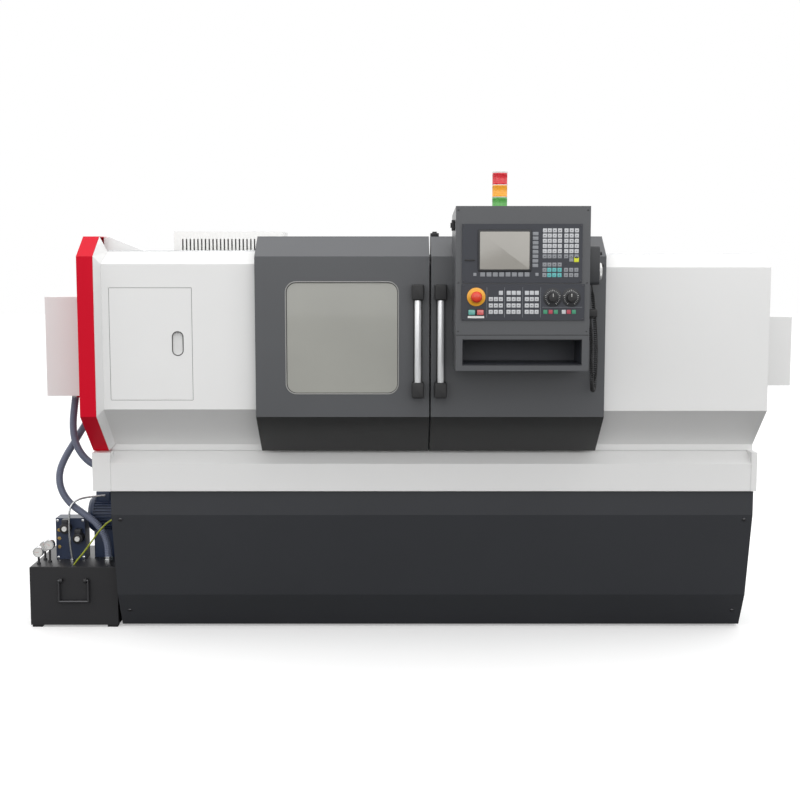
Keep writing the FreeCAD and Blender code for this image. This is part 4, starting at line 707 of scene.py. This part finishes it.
# %% [markdown]
# ## Hand pendant
# The pendant hangs on the side of the operator box. Its silver wheel is a turned rim with fine
# knurling and a small crank, over a disc printed with fifty marks.
# %% Hand pendant
case_low, case_high = map(np.array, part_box("pendant_case"))
CASE_FOOT = 1.388  # the case ends here; the frame's solid goes on into the cord's plug
case_low[2] = CASE_FOOT
wheel_low, wheel_high = map(np.array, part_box("mpg_wheel"))
wheel_y, wheel_z = (wheel_low + wheel_high)[1:] / 2
WHEEL_R = (wheel_high - wheel_low)[1] / 2
SIDE_X = case_high[0]
body = block(case_low, case_high, 0.012, 0.004, axis=0)
grip = block((case_low[0] + 0.002, case_low[1] - 0.0006, case_low[2] + 0.012),
             (case_low[0] + 0.012, case_high[1] + 0.0006, case_high[2] - 0.012), 0.006, 0.002, axis=0)
plug = spun((0.667, -0.590, 1.266), 2, [(0, 0.0085), (0.004, 0.0100), (0.012, 0.0100), (0.013, 0.0118),
            (0.026, 0.0118), (0.027, 0.0105), (0.034, 0.0105)])
plug_block = block((0.643, -0.606, 1.272), (0.688, -0.574, 1.300), 0.004, 0.002, axis=0)
build("pendant_body", [body, grip], dark_plastic, RIDER, replaces=["pendant_case"])
build("pendant_plug", [plug, plug_block], soft_black, RIDER)
strip = block((SIDE_X - 0.001, case_low[1] + 0.012, 1.486),
              (SIDE_X + 0.0008, case_high[1] - 0.012, 1.514), 0.003, 0.0005, axis=0)
build("pendant_label", [strip], panel_grey, RIDER)
switch = [(-0.001, 0.0085), (0.0020, 0.0085), (0.0024, 0.0075), (0.0085, 0.0068), (0.0095, 0.0058)]
switches, dots = [], []
for y in (wheel_y - 0.020, wheel_y + 0.020):
    switches.append(spun((SIDE_X, y, 1.500), 0, switch))
    dots.append(block((SIDE_X + 0.0092, y - 0.0006, 1.5005), (SIDE_X + 0.0099, y + 0.0006, 1.5052),
                      0.0004, 0.0001, axis=0, steps=1))
build("pendant_switches", switches, soft_black, RIDER)
build("pendant_switch_marks", dots, mark_white, RIDER, smooth=False)
ring = [(-0.0005, WHEEL_R + 0.0055), (0.0012, WHEEL_R + 0.0055), (0.0018, WHEEL_R + 0.0045)]
build("pendant_dial_ring", [spun((SIDE_X, wheel_y, wheel_z), 0, ring, 72)], ground_steel, RIDER)
ticks = []
for number in range(50):
    reach = (WHEEL_R + (0.0019 if number % 5 else 0.0008), WHEEL_R + 0.0042)
    ticks.append(bar((wheel_y, wheel_z), 0, 2 * math.pi * number / 50, reach, (0.0002, 0.0002),
                     (SIDE_X + 0.0016, SIDE_X + 0.0020)))
build("pendant_dial_ticks", ticks, soft_black, RIDER, smooth=False)

# %% Hand wheel
silver = finish("silver_wheel", (0.74, 0.74, 0.73), rough=0.3, metal=0.6, peel=0.08, mottle=0.03, edge=0)
RIM = WHEEL_R - 0.003
levels = [(0.0022, TIP, 0), (0.0022, RIM, 0), (0.0032, WHEEL_R - 0.0012, 1),
          (0.0098, WHEEL_R - 0.0012, 1), (0.0110, RIM, 0), (0.0106, WHEEL_R - 0.007, 0),
          (0.0088, WHEEL_R - 0.010, 0), (0.0088, 0.012, 0), (0.0104, 0.010, 0), (0.0104, TIP, 0)]
rim = turned((SIDE_X, wheel_y, wheel_z), 0, levels, 240, 0.0004 * ripple(60, 240))
build("hand_wheel_rim", [rim], silver, "hand_wheel", replaces=["mpg_wheel"])
handle_out = wheel_high[0] - SIDE_X
crank = [(0.0080, TIP), (0.0080, 0.0042), (0.0105, 0.0040), (0.0130, 0.0058),
         (handle_out - 0.0020, 0.0062), (handle_out - 0.0004, 0.0045), (handle_out, TIP)]
build("hand_wheel_knob", [turned((SIDE_X, wheel_y, wheel_z + WHEEL_R - 0.0095), 0, crank)], soft_black,
      "hand_wheel")
print("pendant done")

# %% [markdown]
# ## Hoses, wire and curly cord
# Each hose follows the same line of points as the frame's own hose, drawn as a smooth curve of
# third order. The curve is read back as points, and a ribbed skin is wound round it: the radius is
# base + depth * cos(2 pi * distance / pitch), which is how a spiral-reinforced hose looks.
# %% Routes
CYLINDER_HOSE = [(-1.326, -0.080, 0.948), (-1.336, -0.082, 0.880), (-1.342, -0.086, 0.812),
                 (-1.334, -0.090, 0.744), (-1.304, -0.088, 0.686), (-1.258, -0.080, 0.646),
                 (-1.212, -0.070, 0.630)]
DRAIN_HOSE = [(-1.215, -0.020, 0.893), (-1.262, -0.022, 0.866), (-1.306, -0.026, 0.812),
              (-1.346, -0.030, 0.745), (-1.388, -0.034, 0.680), (-1.416, -0.038, 0.615),
              (-1.412, -0.040, 0.545), (-1.374, -0.042, 0.485), (-1.316, -0.046, 0.443),
              (-1.262, -0.052, 0.405), (-1.226, -0.056, 0.348), (-1.216, -0.058, 0.290),
              (-1.216, -0.060, 0.246)]
EARTH_WIRE = [(-1.146, -0.150, 0.452), (-1.184, -0.152, 0.440), (-1.222, -0.152, 0.405),
              (-1.262, -0.148, 0.352), (-1.300, -0.140, 0.300), (-1.330, -0.130, 0.268),
              (-1.345, -0.122, 0.246)]
PENDANT_CORD = [(0.667, -0.590, 1.266), (0.668, -0.594, 1.215), (0.672, -0.600, 1.160),
                (0.668, -0.618, 1.100), (0.668, -0.620, 1.048), (0.676, -0.590, 1.002),
                (0.690, -0.542, 1.008), (0.696, -0.528, 1.062), (0.694, -0.548, 1.135),
                (0.688, -0.572, 1.215), (0.678, -0.584, 1.300), (0.668, -0.590, 1.388)]


def spline(name, route, radius):
    """A NURBS curve of third order through a route's ends, with a round section."""
    data = bpy.data.curves.new(name, "CURVE")
    data.dimensions = "3D"
    line = data.splines.new("NURBS")
    line.points.add(len(route) - 1)
    for point, place in zip(line.points, route):
        point.co = (*place, 1)
    line.order_u = 3
    line.use_endpoint_u = True
    line.resolution_u = 64
    data.bevel_depth = radius
    data.bevel_resolution = 6
    data.use_fill_caps = True
    piece = bpy.data.objects.new(name, data)
    scene.collection.objects.link(piece)
    return piece


def centreline(route, spacing):
    """Points at even distances along a route's spline, read from a bare curve."""
    bare = spline("bare", route, 0)
    mesh = bpy.data.meshes.new_from_object(bare)
    raw = np.empty(len(mesh.vertices) * 3)
    mesh.vertices.foreach_get("co", raw)
    raw = raw.reshape(-1, 3)
    bpy.data.meshes.remove(mesh)
    bpy.data.curves.remove(bare.data)
    gone = np.concatenate([[0], np.cumsum(np.linalg.norm(np.diff(raw, axis=0), axis=1))])
    count = int(round(gone[-1] / spacing)) + 1
    even = np.linspace(0, gone[-1], count)
    return np.stack([np.interp(even, gone, raw[:, axis]) for axis in range(3)], axis=-1), gone[-1]


def frames(points):
    """Tangent, normal and binormal along a line, carried forward without twist."""
    tangent = np.gradient(points, axis=0)
    tangent /= np.linalg.norm(tangent, axis=1)[:, None]
    normal = np.empty_like(tangent)
    normal[0] = np.cross(tangent[0], (0.0, 1.0, 0.2))
    normal[0] /= np.linalg.norm(normal[0])
    for number in range(1, len(points)):
        turned_on = normal[number - 1] - tangent[number] * np.dot(normal[number - 1], tangent[number])
        normal[number] = turned_on / np.linalg.norm(turned_on)
    return tangent, normal, np.cross(tangent, normal)


def skin(points, radius, sides=28):
    """A tube of closed loops round a line; the radius is one number or one for each point."""
    _, normal, beside = frames(points)
    angle = np.linspace(0, 2 * np.pi, sides, endpoint=False)
    across, up = np.cos(angle)[None, :, None], np.sin(angle)[None, :, None]
    around = normal[:, None] * across + beside[:, None] * up
    tube = points[:, None] + around * np.broadcast_to(radius, len(points))[:, None, None]
    start, end = np.repeat(points[:1, None], sides, 1), np.repeat(points[-1:, None], sides, 1)
    return np.concatenate([start + (tube[:1] - start) * 0.01, tube, end + (tube[-1:] - end) * 0.01])


# %% Hoses
hose_blue = finish("hose_blue", (0.145, 0.165, 0.235), rough=0.38, peel=0.2, mottle=0.12, edge=0)
PITCH_RIB = 0.0072
for label, route, node in (("feed_hose", CYLINDER_HOSE, "cylinder_hose"),
                           ("return_hose", DRAIN_HOSE, "drain_hose")):
    line, length = centreline(route, 0.0012)
    gone = np.linspace(0, length, len(line))
    radius = 0.0142 + 0.0008 * np.cos(2 * np.pi * gone / PITCH_RIB)
    hose = build(label, [skin(line, radius)], hose_blue, replaces=[node])
    print(label, "length", round(length, 4))

# %% Earth wire
wire = spline("earth_lead", EARTH_WIRE, 0.0035)
line, length = centreline(EARTH_WIRE, 0.004)
earth = finish("earth_stripe", (0.30, 0.34, 0.02), rough=0.4, peel=0.05, edge=0)
wire.data.materials.append(earth)
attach(wire, "root")
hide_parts("earth_wire")
print("earth lead length", round(length, 4))

# %% [markdown]
# The pendant's cord is a curly one. Its helix winds round the route's own line at
# line + radius * (normal * cos(2 pi * distance / pitch) + side * sin(2 pi * distance / pitch)), and
# the winding radius fades to nothing over the last few centimetres, where a real cord runs straight
# into its plug.
# %% Curly cord
line, length = centreline(PENDANT_CORD, 0.00032)
gone = np.linspace(0, length, len(line))
fade = np.clip(np.minimum(gone, length - gone) / 0.034 - 0.25, 0, 1)
winding = 0.0056 * fade ** 2 * (3 - 2 * fade)
_, normal, beside = frames(line)
turn = 2 * np.pi * gone / 0.0080
helix = line + winding[:, None] * (normal * np.cos(turn)[:, None] + beside * np.sin(turn)[:, None])
curly = build("curly_cord", [skin(helix, 0.0023, sides=8)], soft_black, RIDER, replaces=["pendant_cord"])

# %% [markdown]
# ## Hydraulic unit
# The pump motor is a finned barrel with a pierced fan cover and a terminal box. The valve block
# carries two solenoids with square plugs. Gauges have white faces with a ring of ticks and a needle.
# %% Pump motor
gauge_white = finish("gauge_white", (0.72, 0.72, 0.70), rough=0.3, peel=0.03, edge=0, coat=0.4)
brass = finish("brass", (0.62, 0.42, 0.14), rough=0.3, metal=1, peel=0.2, edge=0.0005, mottle=0.1)
motor_low, motor_high = map(np.array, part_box("pump_motor"))
motor_y, motor_z, MOTOR_R = 0.060, 0.423, 0.075
start_x, end_x = motor_low[0], motor_high[0]


def finned(start, end, fins=36, depth=0.007, sides=360):
    """A barrel with fins along it: radius - depth * (1 - crest), crest a steep wave round it."""
    crest = 1 / (1 + np.exp(-9 * ripple(fins, sides)))
    levels = [(start, TIP, 0), (start, MOTOR_R - depth, 0), (start + 0.001, MOTOR_R, 1),
              (end - 0.001, MOTOR_R, 1), (end, MOTOR_R - depth, 0), (end, TIP, 0)]
    return turned((0, motor_y, motor_z), 0, levels, sides, depth * (crest - 1))


bell = [(0, MOTOR_R - 0.012), (0.010, MOTOR_R - 0.004), (0.014, MOTOR_R - 0.001),
        (0.026, MOTOR_R - 0.001)]
barrel = finned(start_x + 0.022, end_x - 0.036)
nose = spun((start_x, motor_y, motor_z), 0, bell, 64)
cowl = spun((end_x, motor_y, motor_z), 0, [(-x * 1.5, radius) for x, radius in bell], 64)
stand = block((start_x + 0.020, motor_y - 0.045, 0.246),
              (end_x - 0.020, motor_y + 0.045, motor_z - 0.050), 0.004, 0.003, axis=2)
build("pump_barrel", [barrel, nose, cowl, stand], blue_paint, replaces=["pump_motor"])
terminal = block((start_x + 0.030, motor_y - 0.040, motor_z + 0.055),
                 (start_x + 0.090, motor_y + 0.020, motor_high[2]), 0.006, 0.003, axis=2)
build("pump_terminal_box", [terminal], blue_paint)
slots = []
for count, reach in ((8, 0.020), (14, 0.034), (20, 0.048)):
    for angle in 2 * np.pi * np.arange(count) / count:
        y, z = motor_y + reach * math.cos(angle), motor_z + reach * math.sin(angle)
        slots.append(spun((end_x - 0.0006, y, z), 0, [(-0.001, 0.0032), (0.0008, 0.0032)], 12))
build("fan_cover_holes", slots, soft_black)

# %% Valves
coils, nuts, plugs = [], [], []
coil = [(0.0412, 0.0218), (0.004, 0.0218), (0.001, 0.0205), (0, 0.0180)]
for x, z in ((-1.394, 0.383), (-1.342, 0.342)):
    coils.append(spun((x, -0.0615, z), 1, coil))
    nuts.append(spun((x, -0.0617, z), 1, [(0.004, 0.0105), (-0.0060, 0.0105), (-0.0075, 0.0090)], 32))
    plugs.append(slab(x, z + 0.0275, 0.013, 0.0095, -0.056, -0.024, 0.004, 0.002, axis=2))
build("solenoid_coils", coils, soft_black)
build("solenoid_nuts", nuts, gauge_white)
build("solenoid_plugs", plugs, dark_plastic)
bolt = [(0.004, 0.0058), (0.0005, 0.0058), (0, 0.005)]
bolts = [spun((x, -0.0215, z), 1, bolt, 24) for x in (-1.432, -1.328) for z in (0.256, 0.410)]
build("valve_bolts", bolts, chrome)
port = [(0.006, 0.0078), (0.0005, 0.0078), (0, 0.007)]
ports = [spun((-1.4265, -0.0215, z), 1, port, 6) for z in (0.300, 0.335, 0.370)]
build("valve_ports", ports, brass, smooth=False)

# %% Gauges
faces, bezels, needles, ticks, stems = [], [], [], [], []
GAUGES = [(-1.489, -0.110, 0.300), (-1.454, -0.070, 0.321), (-1.484, -0.030, 0.306)]
TANK_TOP = 0.246
bezel = [(0.026, 0.0195), (0.022, 0.0215), (0.004, 0.0215), (0.001, 0.0205), (0, 0.0190), (0.003, 0.0178)]
for number, (x, y, z) in enumerate(GAUGES):
    front, rise = y - 0.013, z - TANK_TOP
    bezels.append(spun((x, front, z), 1, bezel))
    faces.append(spun((x, front, z), 1, [(0.004, 0.0179), (0.0022, 0.0179)]))
    stems.append(spun((x, y, TANK_TOP), 2, [(0, 0.0080), (0.010, 0.0080), (0.011, 0.0045),
                      (rise - 0.020, 0.0045), (rise - 0.0195, 0.0070), (rise - 0.014, 0.0070)], 24))
    for step in range(19):
        reach = (0.0142 if step % 3 else 0.0128, 0.0162)
        ticks.append(bar((x, z), 1, math.radians(225 - 15 * step), reach, (0.0003, 0.0003),
                         (front + 0.0023, front + 0.0018)))
    needles.append(bar((x, z), 1, math.radians(190 - 40 * number), (-0.004, 0.0135), (0.0005, 0.0001),
                       (front + 0.0018, front + 0.0012)))
build("gauge_bezels", bezels, chrome, replaces=["pressure_gauges"])
build("gauge_faces", faces, gauge_white)
build("gauge_stems", stems, dark_steel)
build("gauge_ticks", ticks, soft_black, smooth=False)
build("gauge_needles", needles, stop_red, smooth=False)

# %% Tank details
filler = turned((-1.205, 0.195, TANK_TOP), 2, [(-0.001, TIP), (-0.001, 0.026), (0.006, 0.026),
                (0.008, 0.022), (0.030, 0.022), (0.034, 0.019), (0.035, TIP)])
build("tank_filler_cap", [filler], dark_plastic)
lid = block((-1.512, -0.158, 0.2455), (-1.162, 0.238, 0.2485), 0.006, 0.001, axis=2)
build("tank_lid", [lid], black_coat)
fittings = []
for place, axis, reach in (((-1.326, -0.080, 0.948), 2, -0.020), ((-1.216, -0.060, 0.2485), 2, 0.022),
                           ((-1.215, -0.020, 0.893), 0, -0.018)):
    profile = [(0, 0.0185), (reach * 0.45, 0.0185), (reach * 0.5, 0.0175), (reach, 0.0170)]
    fittings.append(spun(place, axis, profile, 32))
build("hose_clamps", fittings, ground_steel)
print("hydraulics done")

# %% [markdown]
# ## Screws, seams and door hardware
# A screw head is a shallow dome with a six-sided socket, turned about the direction that its sheet
# faces. Screws hold the apron's corners, the operator box, the small covers and the rear panels.
# %% Screws
def facing(place, outward, profile, sides=24):
    """A turned part about any direction: each pair is a distance outward and a radius."""
    outward = np.array(outward, float)
    outward /= np.linalg.norm(outward)
    helper = np.array([1.0, 0, 0]) if abs(outward[0]) < 0.9 else np.array([0, 1.0, 0])
    across = np.cross(outward, helper)
    across /= np.linalg.norm(across)
    beside = np.cross(outward, across)
    angle = np.linspace(0, 2 * np.pi, sides, endpoint=False)
    around = across * np.cos(angle)[:, None] + beside * np.sin(angle)[:, None]
    return np.array([np.array(place) + outward * out + around * radius for out, radius in profile])


def screws(name, spots, radius, material, body="root"):
    """Button-head screws at each (place, outward), with their sockets as a second piece."""
    dome = solid([(-0.0010, radius), (0.0004, radius), (radius * 0.30, radius * 0.86),
                  (radius * 0.46, radius * 0.58), (radius * 0.50, radius * 0.46)])
    socket = solid([(radius * 0.2, radius * 0.40), (radius * 0.52, radius * 0.40)])
    build(name, [facing(place, outward, dome) for place, outward in spots], material, body)
    build(f"{name}_sockets", [facing(place, outward, socket, 6) for place, outward in spots], soft_black,
          body, smooth=False)


def on_fold(x, z, top, bottom):
    """A place on the slope between two (y, z) fold lines, and the way the slope faces."""
    share = (top[1] - z) / (top[1] - bottom[1])
    y = top[0] + share * (bottom[0] - top[0])
    return (x, y, z), (0, -(top[1] - bottom[1]), -(bottom[0] - top[0]))


def spots_at(xs, ys, zs, outward):
    """Every place of a grid, with the direction that a screw there faces."""
    return [((x, y, z), outward) for x in xs for y in ys for z in zs]


FRONT = (0, -1, 0)
APRON_FOLDS = [(-0.308, 0.490), (-0.225, 0.152), (-0.145, 0.010)]
spots = [on_fold(x, 0.471, *APRON_FOLDS[:2]) for x in (-1.112, 1.318)]
spots += [on_fold(x, 0.077, *APRON_FOLDS[1:]) for x in (-1.108, 1.312)]
screws("apron_screws", spots, 0.0075, dark_steel)
spots = spots_at((0.1815, 0.6335), [PANEL_FACE + 0.006], (1.2275, 1.3980, 1.6505), FRONT)
screws("box_screws", spots, 0.0032, dark_steel, RIDER)
spots = spots_at((0.1985, 0.6180), [PANEL_FACE], (1.2715, 1.3875), FRONT)
spots += spots_at((0.1995, 0.6080), [FACE], (1.4025, 1.5960), FRONT)
screws("panel_screws", spots, 0.0026, dark_steel, RIDER)
spots = spots_at([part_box("end_hood")[1][0]], (-0.150, 0.030), (1.025, 1.215), (1, 0, 0))
spots += spots_at([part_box("cylinder_cover")[0][0]], (-0.200, 0.080), (0.980, 1.300), (-1, 0, 0))
screws("cover_screws", spots, 0.0050, chrome)
spots = spots_at(np.linspace(-0.10, 1.30, 5), [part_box("bed_tray")[1][1]], (0.615, 0.710), (0, 1, 0))
screws("rear_tray_screws", spots, 0.0050, chrome)

# %% [markdown]
# The access door closes over a seam. A thin dark line along its edge paints the shade in the gap round
# it, and its pull is an oval slot with a dark rim.
# %% Access door and interlock
door_low, door_high = map(np.array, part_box("access_door"))
# Painted shade: a grey line stands in for the shade in the gap round the access door.
seam = finish("seam_painted_shade", (0.13, 0.13, 0.13), rough=0.7, peel=0.1, edge=0)
middle, size = (door_low + door_high)[[0, 2]] / 2, (door_high - door_low)[[0, 2]]
edge_line = ring_frame(*middle, door_high[1] - 0.0002, size + 0.0016, 0.0030, 0.0016, 0.0007, steps=3)
build_ring("access_door_seam", edge_line, seam)
pull = ring_frame(-0.8535, 1.166, door_low[1], (0.0400, 0.0890), 0.0195, 0.0035, 0.0011)
build_ring("access_pull_rim", pull, soft_black, "access_leaf")
latch = [block((0.0925, -0.342, 1.5650), (0.1245, -0.300, 1.5780), 0.003, 0.002, axis=2),
         block((0.1000, -0.330, 1.5760), (0.1170, -0.312, 1.5835), 0.003, 0.001, axis=2)]
build("door_interlock", latch, soft_black, RIDER)
hook = [block((0.1600, -0.652, 1.5800), (0.1725, -0.628, 1.6180), 0.003, 0.002, axis=0),
        block((0.1560, -0.646, 1.5900), (0.1615, -0.634, 1.6080), 0.002, 0.001, axis=0)]
build("box_catch", hook, soft_black, RIDER)

# %% Document pocket edges
pocket_lip = [block((0.1965, -0.7158, 1.1965), (0.6185, -0.7125, 1.1995), 0.001, 0.0006),
              block((0.1965, -0.7158, 1.1065), (0.6185, -0.7125, 1.1090), 0.001, 0.0006)]
build("pocket_edges", pocket_lip, panel_lip, RIDER)

# %% [markdown]
# ## Rear and working parts
# The cabinet door has a swing handle on a plate, three hinge covers and three columns of vent
# slots. They ride the door, so they swing with it.
# %% Cabinet door
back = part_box("cabinet_door")[1][1]
escutcheon = block((-0.490, back - 0.001, 0.690), (-0.462, back + 0.0030, 0.850), 0.010, 0.001)
lever = block((-0.4845, back + 0.001, 0.715), (-0.4675, back + 0.0070, 0.825), 0.008, 0.003)
build("cabinet_handle_plate", [escutcheon], dark_plastic, "cabinet_leaf")
build("cabinet_handle", [lever], chrome, "cabinet_leaf")
barrels = [turned((-1.1425, back + 0.003, z), 2, rounded(-0.030, 0.030, 0.0065, 0.001), 24)
           for z in (0.160, 0.755, 1.350)]
build("cabinet_hinge_covers", barrels, dark_steel, "cabinet_leaf")
louvres = [slab(x, z, 0.055, 0.0045, back - 0.0005, back + 0.0012, 0.0042, 0.0008)
           for x in (-0.98, -0.80, -0.62) for z in 0.20 + 0.022 * np.arange(9)]
build("cabinet_louvres", louvres, soft_black, "cabinet_leaf")
print("hardware done")

# %% [markdown]
# ## Last touches
# The headstock cover meets the red frame in a slanted return: a wedge-shaped strip whose section,
# a triangle, follows both folded fronts from the roof to the tray.
# %% Cover return
# each row is (y, z) of a fold, from the roof down
FRAME_FOLD = np.array([(-0.360, 1.565), (-0.480, 1.490), (-0.480, 0.895), (-0.280, 0.739)])
COVER_FOLD = np.array([(-0.310, 1.509), (-0.435, 1.462), (-0.435, 0.918), (-0.250, 0.760)])
RETURN_X = (-1.1540, -1.1350, -1.1540)
strip = np.empty((4, 3, 3))
strip[..., 0] = RETURN_X
strip[..., 1:] = np.stack([FRAME_FOLD, COVER_FOLD, COVER_FOLD], axis=1)
build("cover_return", [strip], white_coat, smooth=False)

# %% Access pull cup and the painted shade in the pocket gap
cup = [block((-0.8800, -0.4225, 1.1150), (-0.8270, -0.4205, 1.2170), 0.018, 0.0008)]
build("access_pull_cup", cup, white_coat, "access_leaf")
wall = ring_frame(-0.8535, 1.166, -0.4270, (0.0405, 0.0895), 0.0200, 0.0030, 0.0058)
build_ring("access_pull_wall", wall, white_coat, "access_leaf")
# Painted shade: a black line stands in for the shade in the gap between the operator box and the pocket.
gap_shade_line = block((0.1725, -0.7156, 1.2125), (0.6425, -0.7130, 1.2150), 0.001, 0.0006, axis=0)
build("pocket_gap_shade", [gap_shade_line], soft_black, RIDER)

# %% Pocket lining: the pocket's inner walls in a darker grey, a painted shade
POCKET = np.array([(0.1978, -0.7120, 1.1098), (0.6172, -0.5265, 1.1962)])
# Painted shade: thin dark plates over the pocket's inner walls.
shaded_walls = []
for axis in range(3):
    for end in (0, 1):
        if (axis, end) == (1, 0):
            continue
        low, high = POCKET.copy()
        inside = -0.0008 if end else 0.0008
        low[axis], high[axis] = sorted((POCKET[end, axis], POCKET[end, axis] + inside))
        shaded_walls.append(block(low, high, 0.0003, 0.0002, axis=axis, steps=1))
build("pocket_shade_lining", shaded_walls, panel_grey, RIDER, smooth=False)

# %% Pressure pipe
PIPE = [(-1.235, -0.010, 0.512), (-1.285, -0.024, 0.512), (-1.340, -0.050, 0.505),
        (-1.368, -0.070, 0.480), (-1.371, -0.075, 0.420), (-1.370, -0.075, 0.340),
        (-1.366, -0.072, 0.290), (-1.362, -0.070, 0.249)]
line, length = centreline(PIPE, 0.004)
build("pressure_pipe", [skin(line, 0.0042, sides=16)], ground_steel)
nuts = [spun((-1.362, -0.070, 0.2485), 2, [(0, 0.0095), (0.012, 0.0095), (0.013, 0.0080)], 6)]
build("pipe_nuts", nuts, ground_steel, smooth=False)

# %% [markdown]
# ## Inside the cabinet
# With its door open, the cabinet shows a zinc plate with servo drives, a row of contactors and
# breakers on rails, slotted wiring duct between them and terminals along the foot.
# %% Cabinet contents
zinc = finish("zinc_plate", (0.62, 0.60, 0.52), rough=0.35, metal=0.9, peel=0.2, grain=300, mottle=0.1,
              edge=0)
duct_grey = finish("duct_grey", (0.36, 0.37, 0.38), rough=0.55, peel=0.1, edge=0.0006)
drive_black = finish("drive_black", (0.05, 0.052, 0.055), rough=0.5, peel=0.3, grain=900, edge=0.0008)
breaker_pale = finish("breaker_pale", (0.50, 0.50, 0.48), rough=0.5, peel=0.15, edge=0.0006)
PLATE = 0.425


def on_plate(x, z, half_x, half_z, near, far, *shape, **options):
    """A block on the mounting plate, between two distances from it."""
    return slab(x, z, half_x, half_z, PLATE + near, PLATE + far, *shape, **options)


build("cabinet_plate", [on_plate(-0.800, 0.770, 0.320, 0.650, -0.018, 0, 0.004, 0.001)], zinc)
ducts, combs = [], []
for z in (0.360, 0.640, 0.920, 1.310):
    ducts.append(on_plate(-0.800, z, 0.310, 0.025, 0, 0.060, 0.002, 0.001))
    combs += [on_plate(x, z + side, 0.002, 0.0006, 0.012, 0.050, 0.0005, 0.0002, axis=2, steps=1)
              for x in np.arange(-1.104, -0.494, 0.0125) for side in (-0.0256, 0.0256)]
build("wiring_ducts", ducts, duct_grey)
build("duct_slots", combs, soft_black, smooth=False)
drives, vents, plugs = [], [], []
for x, width in ((-1.030, 0.060), (-0.890, 0.052), (-0.750, 0.052), (-0.610, 0.052)):
    drives.append(on_plate(x, 1.115, width, 0.145, 0, 0.150, 0.004, 0.002))
    plugs += [on_plate(x, z, width * 0.7, 0.009, 0.150, 0.156, 0.002, 0.001) for z in (0.995, 1.235)]
    vents += [on_plate(x, z, width * 0.8, 0.0022, 0.1495, 0.1510, 0.002, 0.0005)
              for z in np.arange(1.090, 1.205, 0.012)]
build("servo_drives", drives, drive_black)
build("drive_vents", vents, soft_black)
build("drive_plugs", plugs, key_green)
rails = [on_plate(-0.800, z, 0.300, 0.0175, 0, 0.0075, 0.001, 0.0005) for z in (0.780, 0.500, 0.240)]
build("mounting_rails", rails, ground_steel)
WIDE_X, SMALL_X = np.arange(-1.070, -0.700, 0.046), np.arange(-0.660, -0.510, 0.018)
breakers = [on_plate(x, 0.780, 0.0215, 0.045, 0.006, 0.086, 0.003, 0.0015) for x in WIDE_X]
breakers += [on_plate(x, 0.780, 0.0085, 0.038, 0.006, 0.070, 0.002, 0.001) for x in SMALL_X]
build("breakers", breakers, breaker_pale)
contactors = [on_plate(x, 0.500, 0.0225, 0.040, 0.006, 0.092, 0.003, 0.0015)
              for x in np.arange(-1.065, -0.540, 0.052)]
build("contactors", contactors, drive_black)
terminals = [on_plate(x, 0.240, 0.0028, 0.022, 0.006, 0.050, 0.001, 0.0005, steps=1)
             for x in np.arange(-1.080, -0.520, 0.0065)]
build("terminals", terminals, duct_grey)
levers = [on_plate(x, 0.782, 0.006, 0.008, 0.085, 0.094, 0.002, 0.001) for x in WIDE_X]
build("breaker_levers", levers, soft_black)

# %% [markdown]
# ## Chuck and turret
# The chuck's face takes a bolt between each two jaws, and the square turret four clamp screws on its
# top.
# %% Chuck and turret screws
chuck_low, chuck_high = map(np.array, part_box("chuck_body"))
chuck_y, chuck_z = (chuck_low + chuck_high)[1:] / 2
BOLT_CIRCLE = 0.070
spots = []
for angle in np.radians([150, 270, 390]):
    y, z = chuck_y + BOLT_CIRCLE * math.cos(angle), chuck_z + BOLT_CIRCLE * math.sin(angle)
    spots.append(((chuck_high[0], y, z), (1, 0, 0)))
screws("chuck_bolts", spots, 0.0080, dark_steel, "spindle_train")
turret_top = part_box("turret_head")[1][2]
spots = spots_at((0.030, 0.110), (-0.272, -0.192), [turret_top], (0, 0, 1))
screws("turret_screws", spots, 0.0075, ground_steel, "turret")
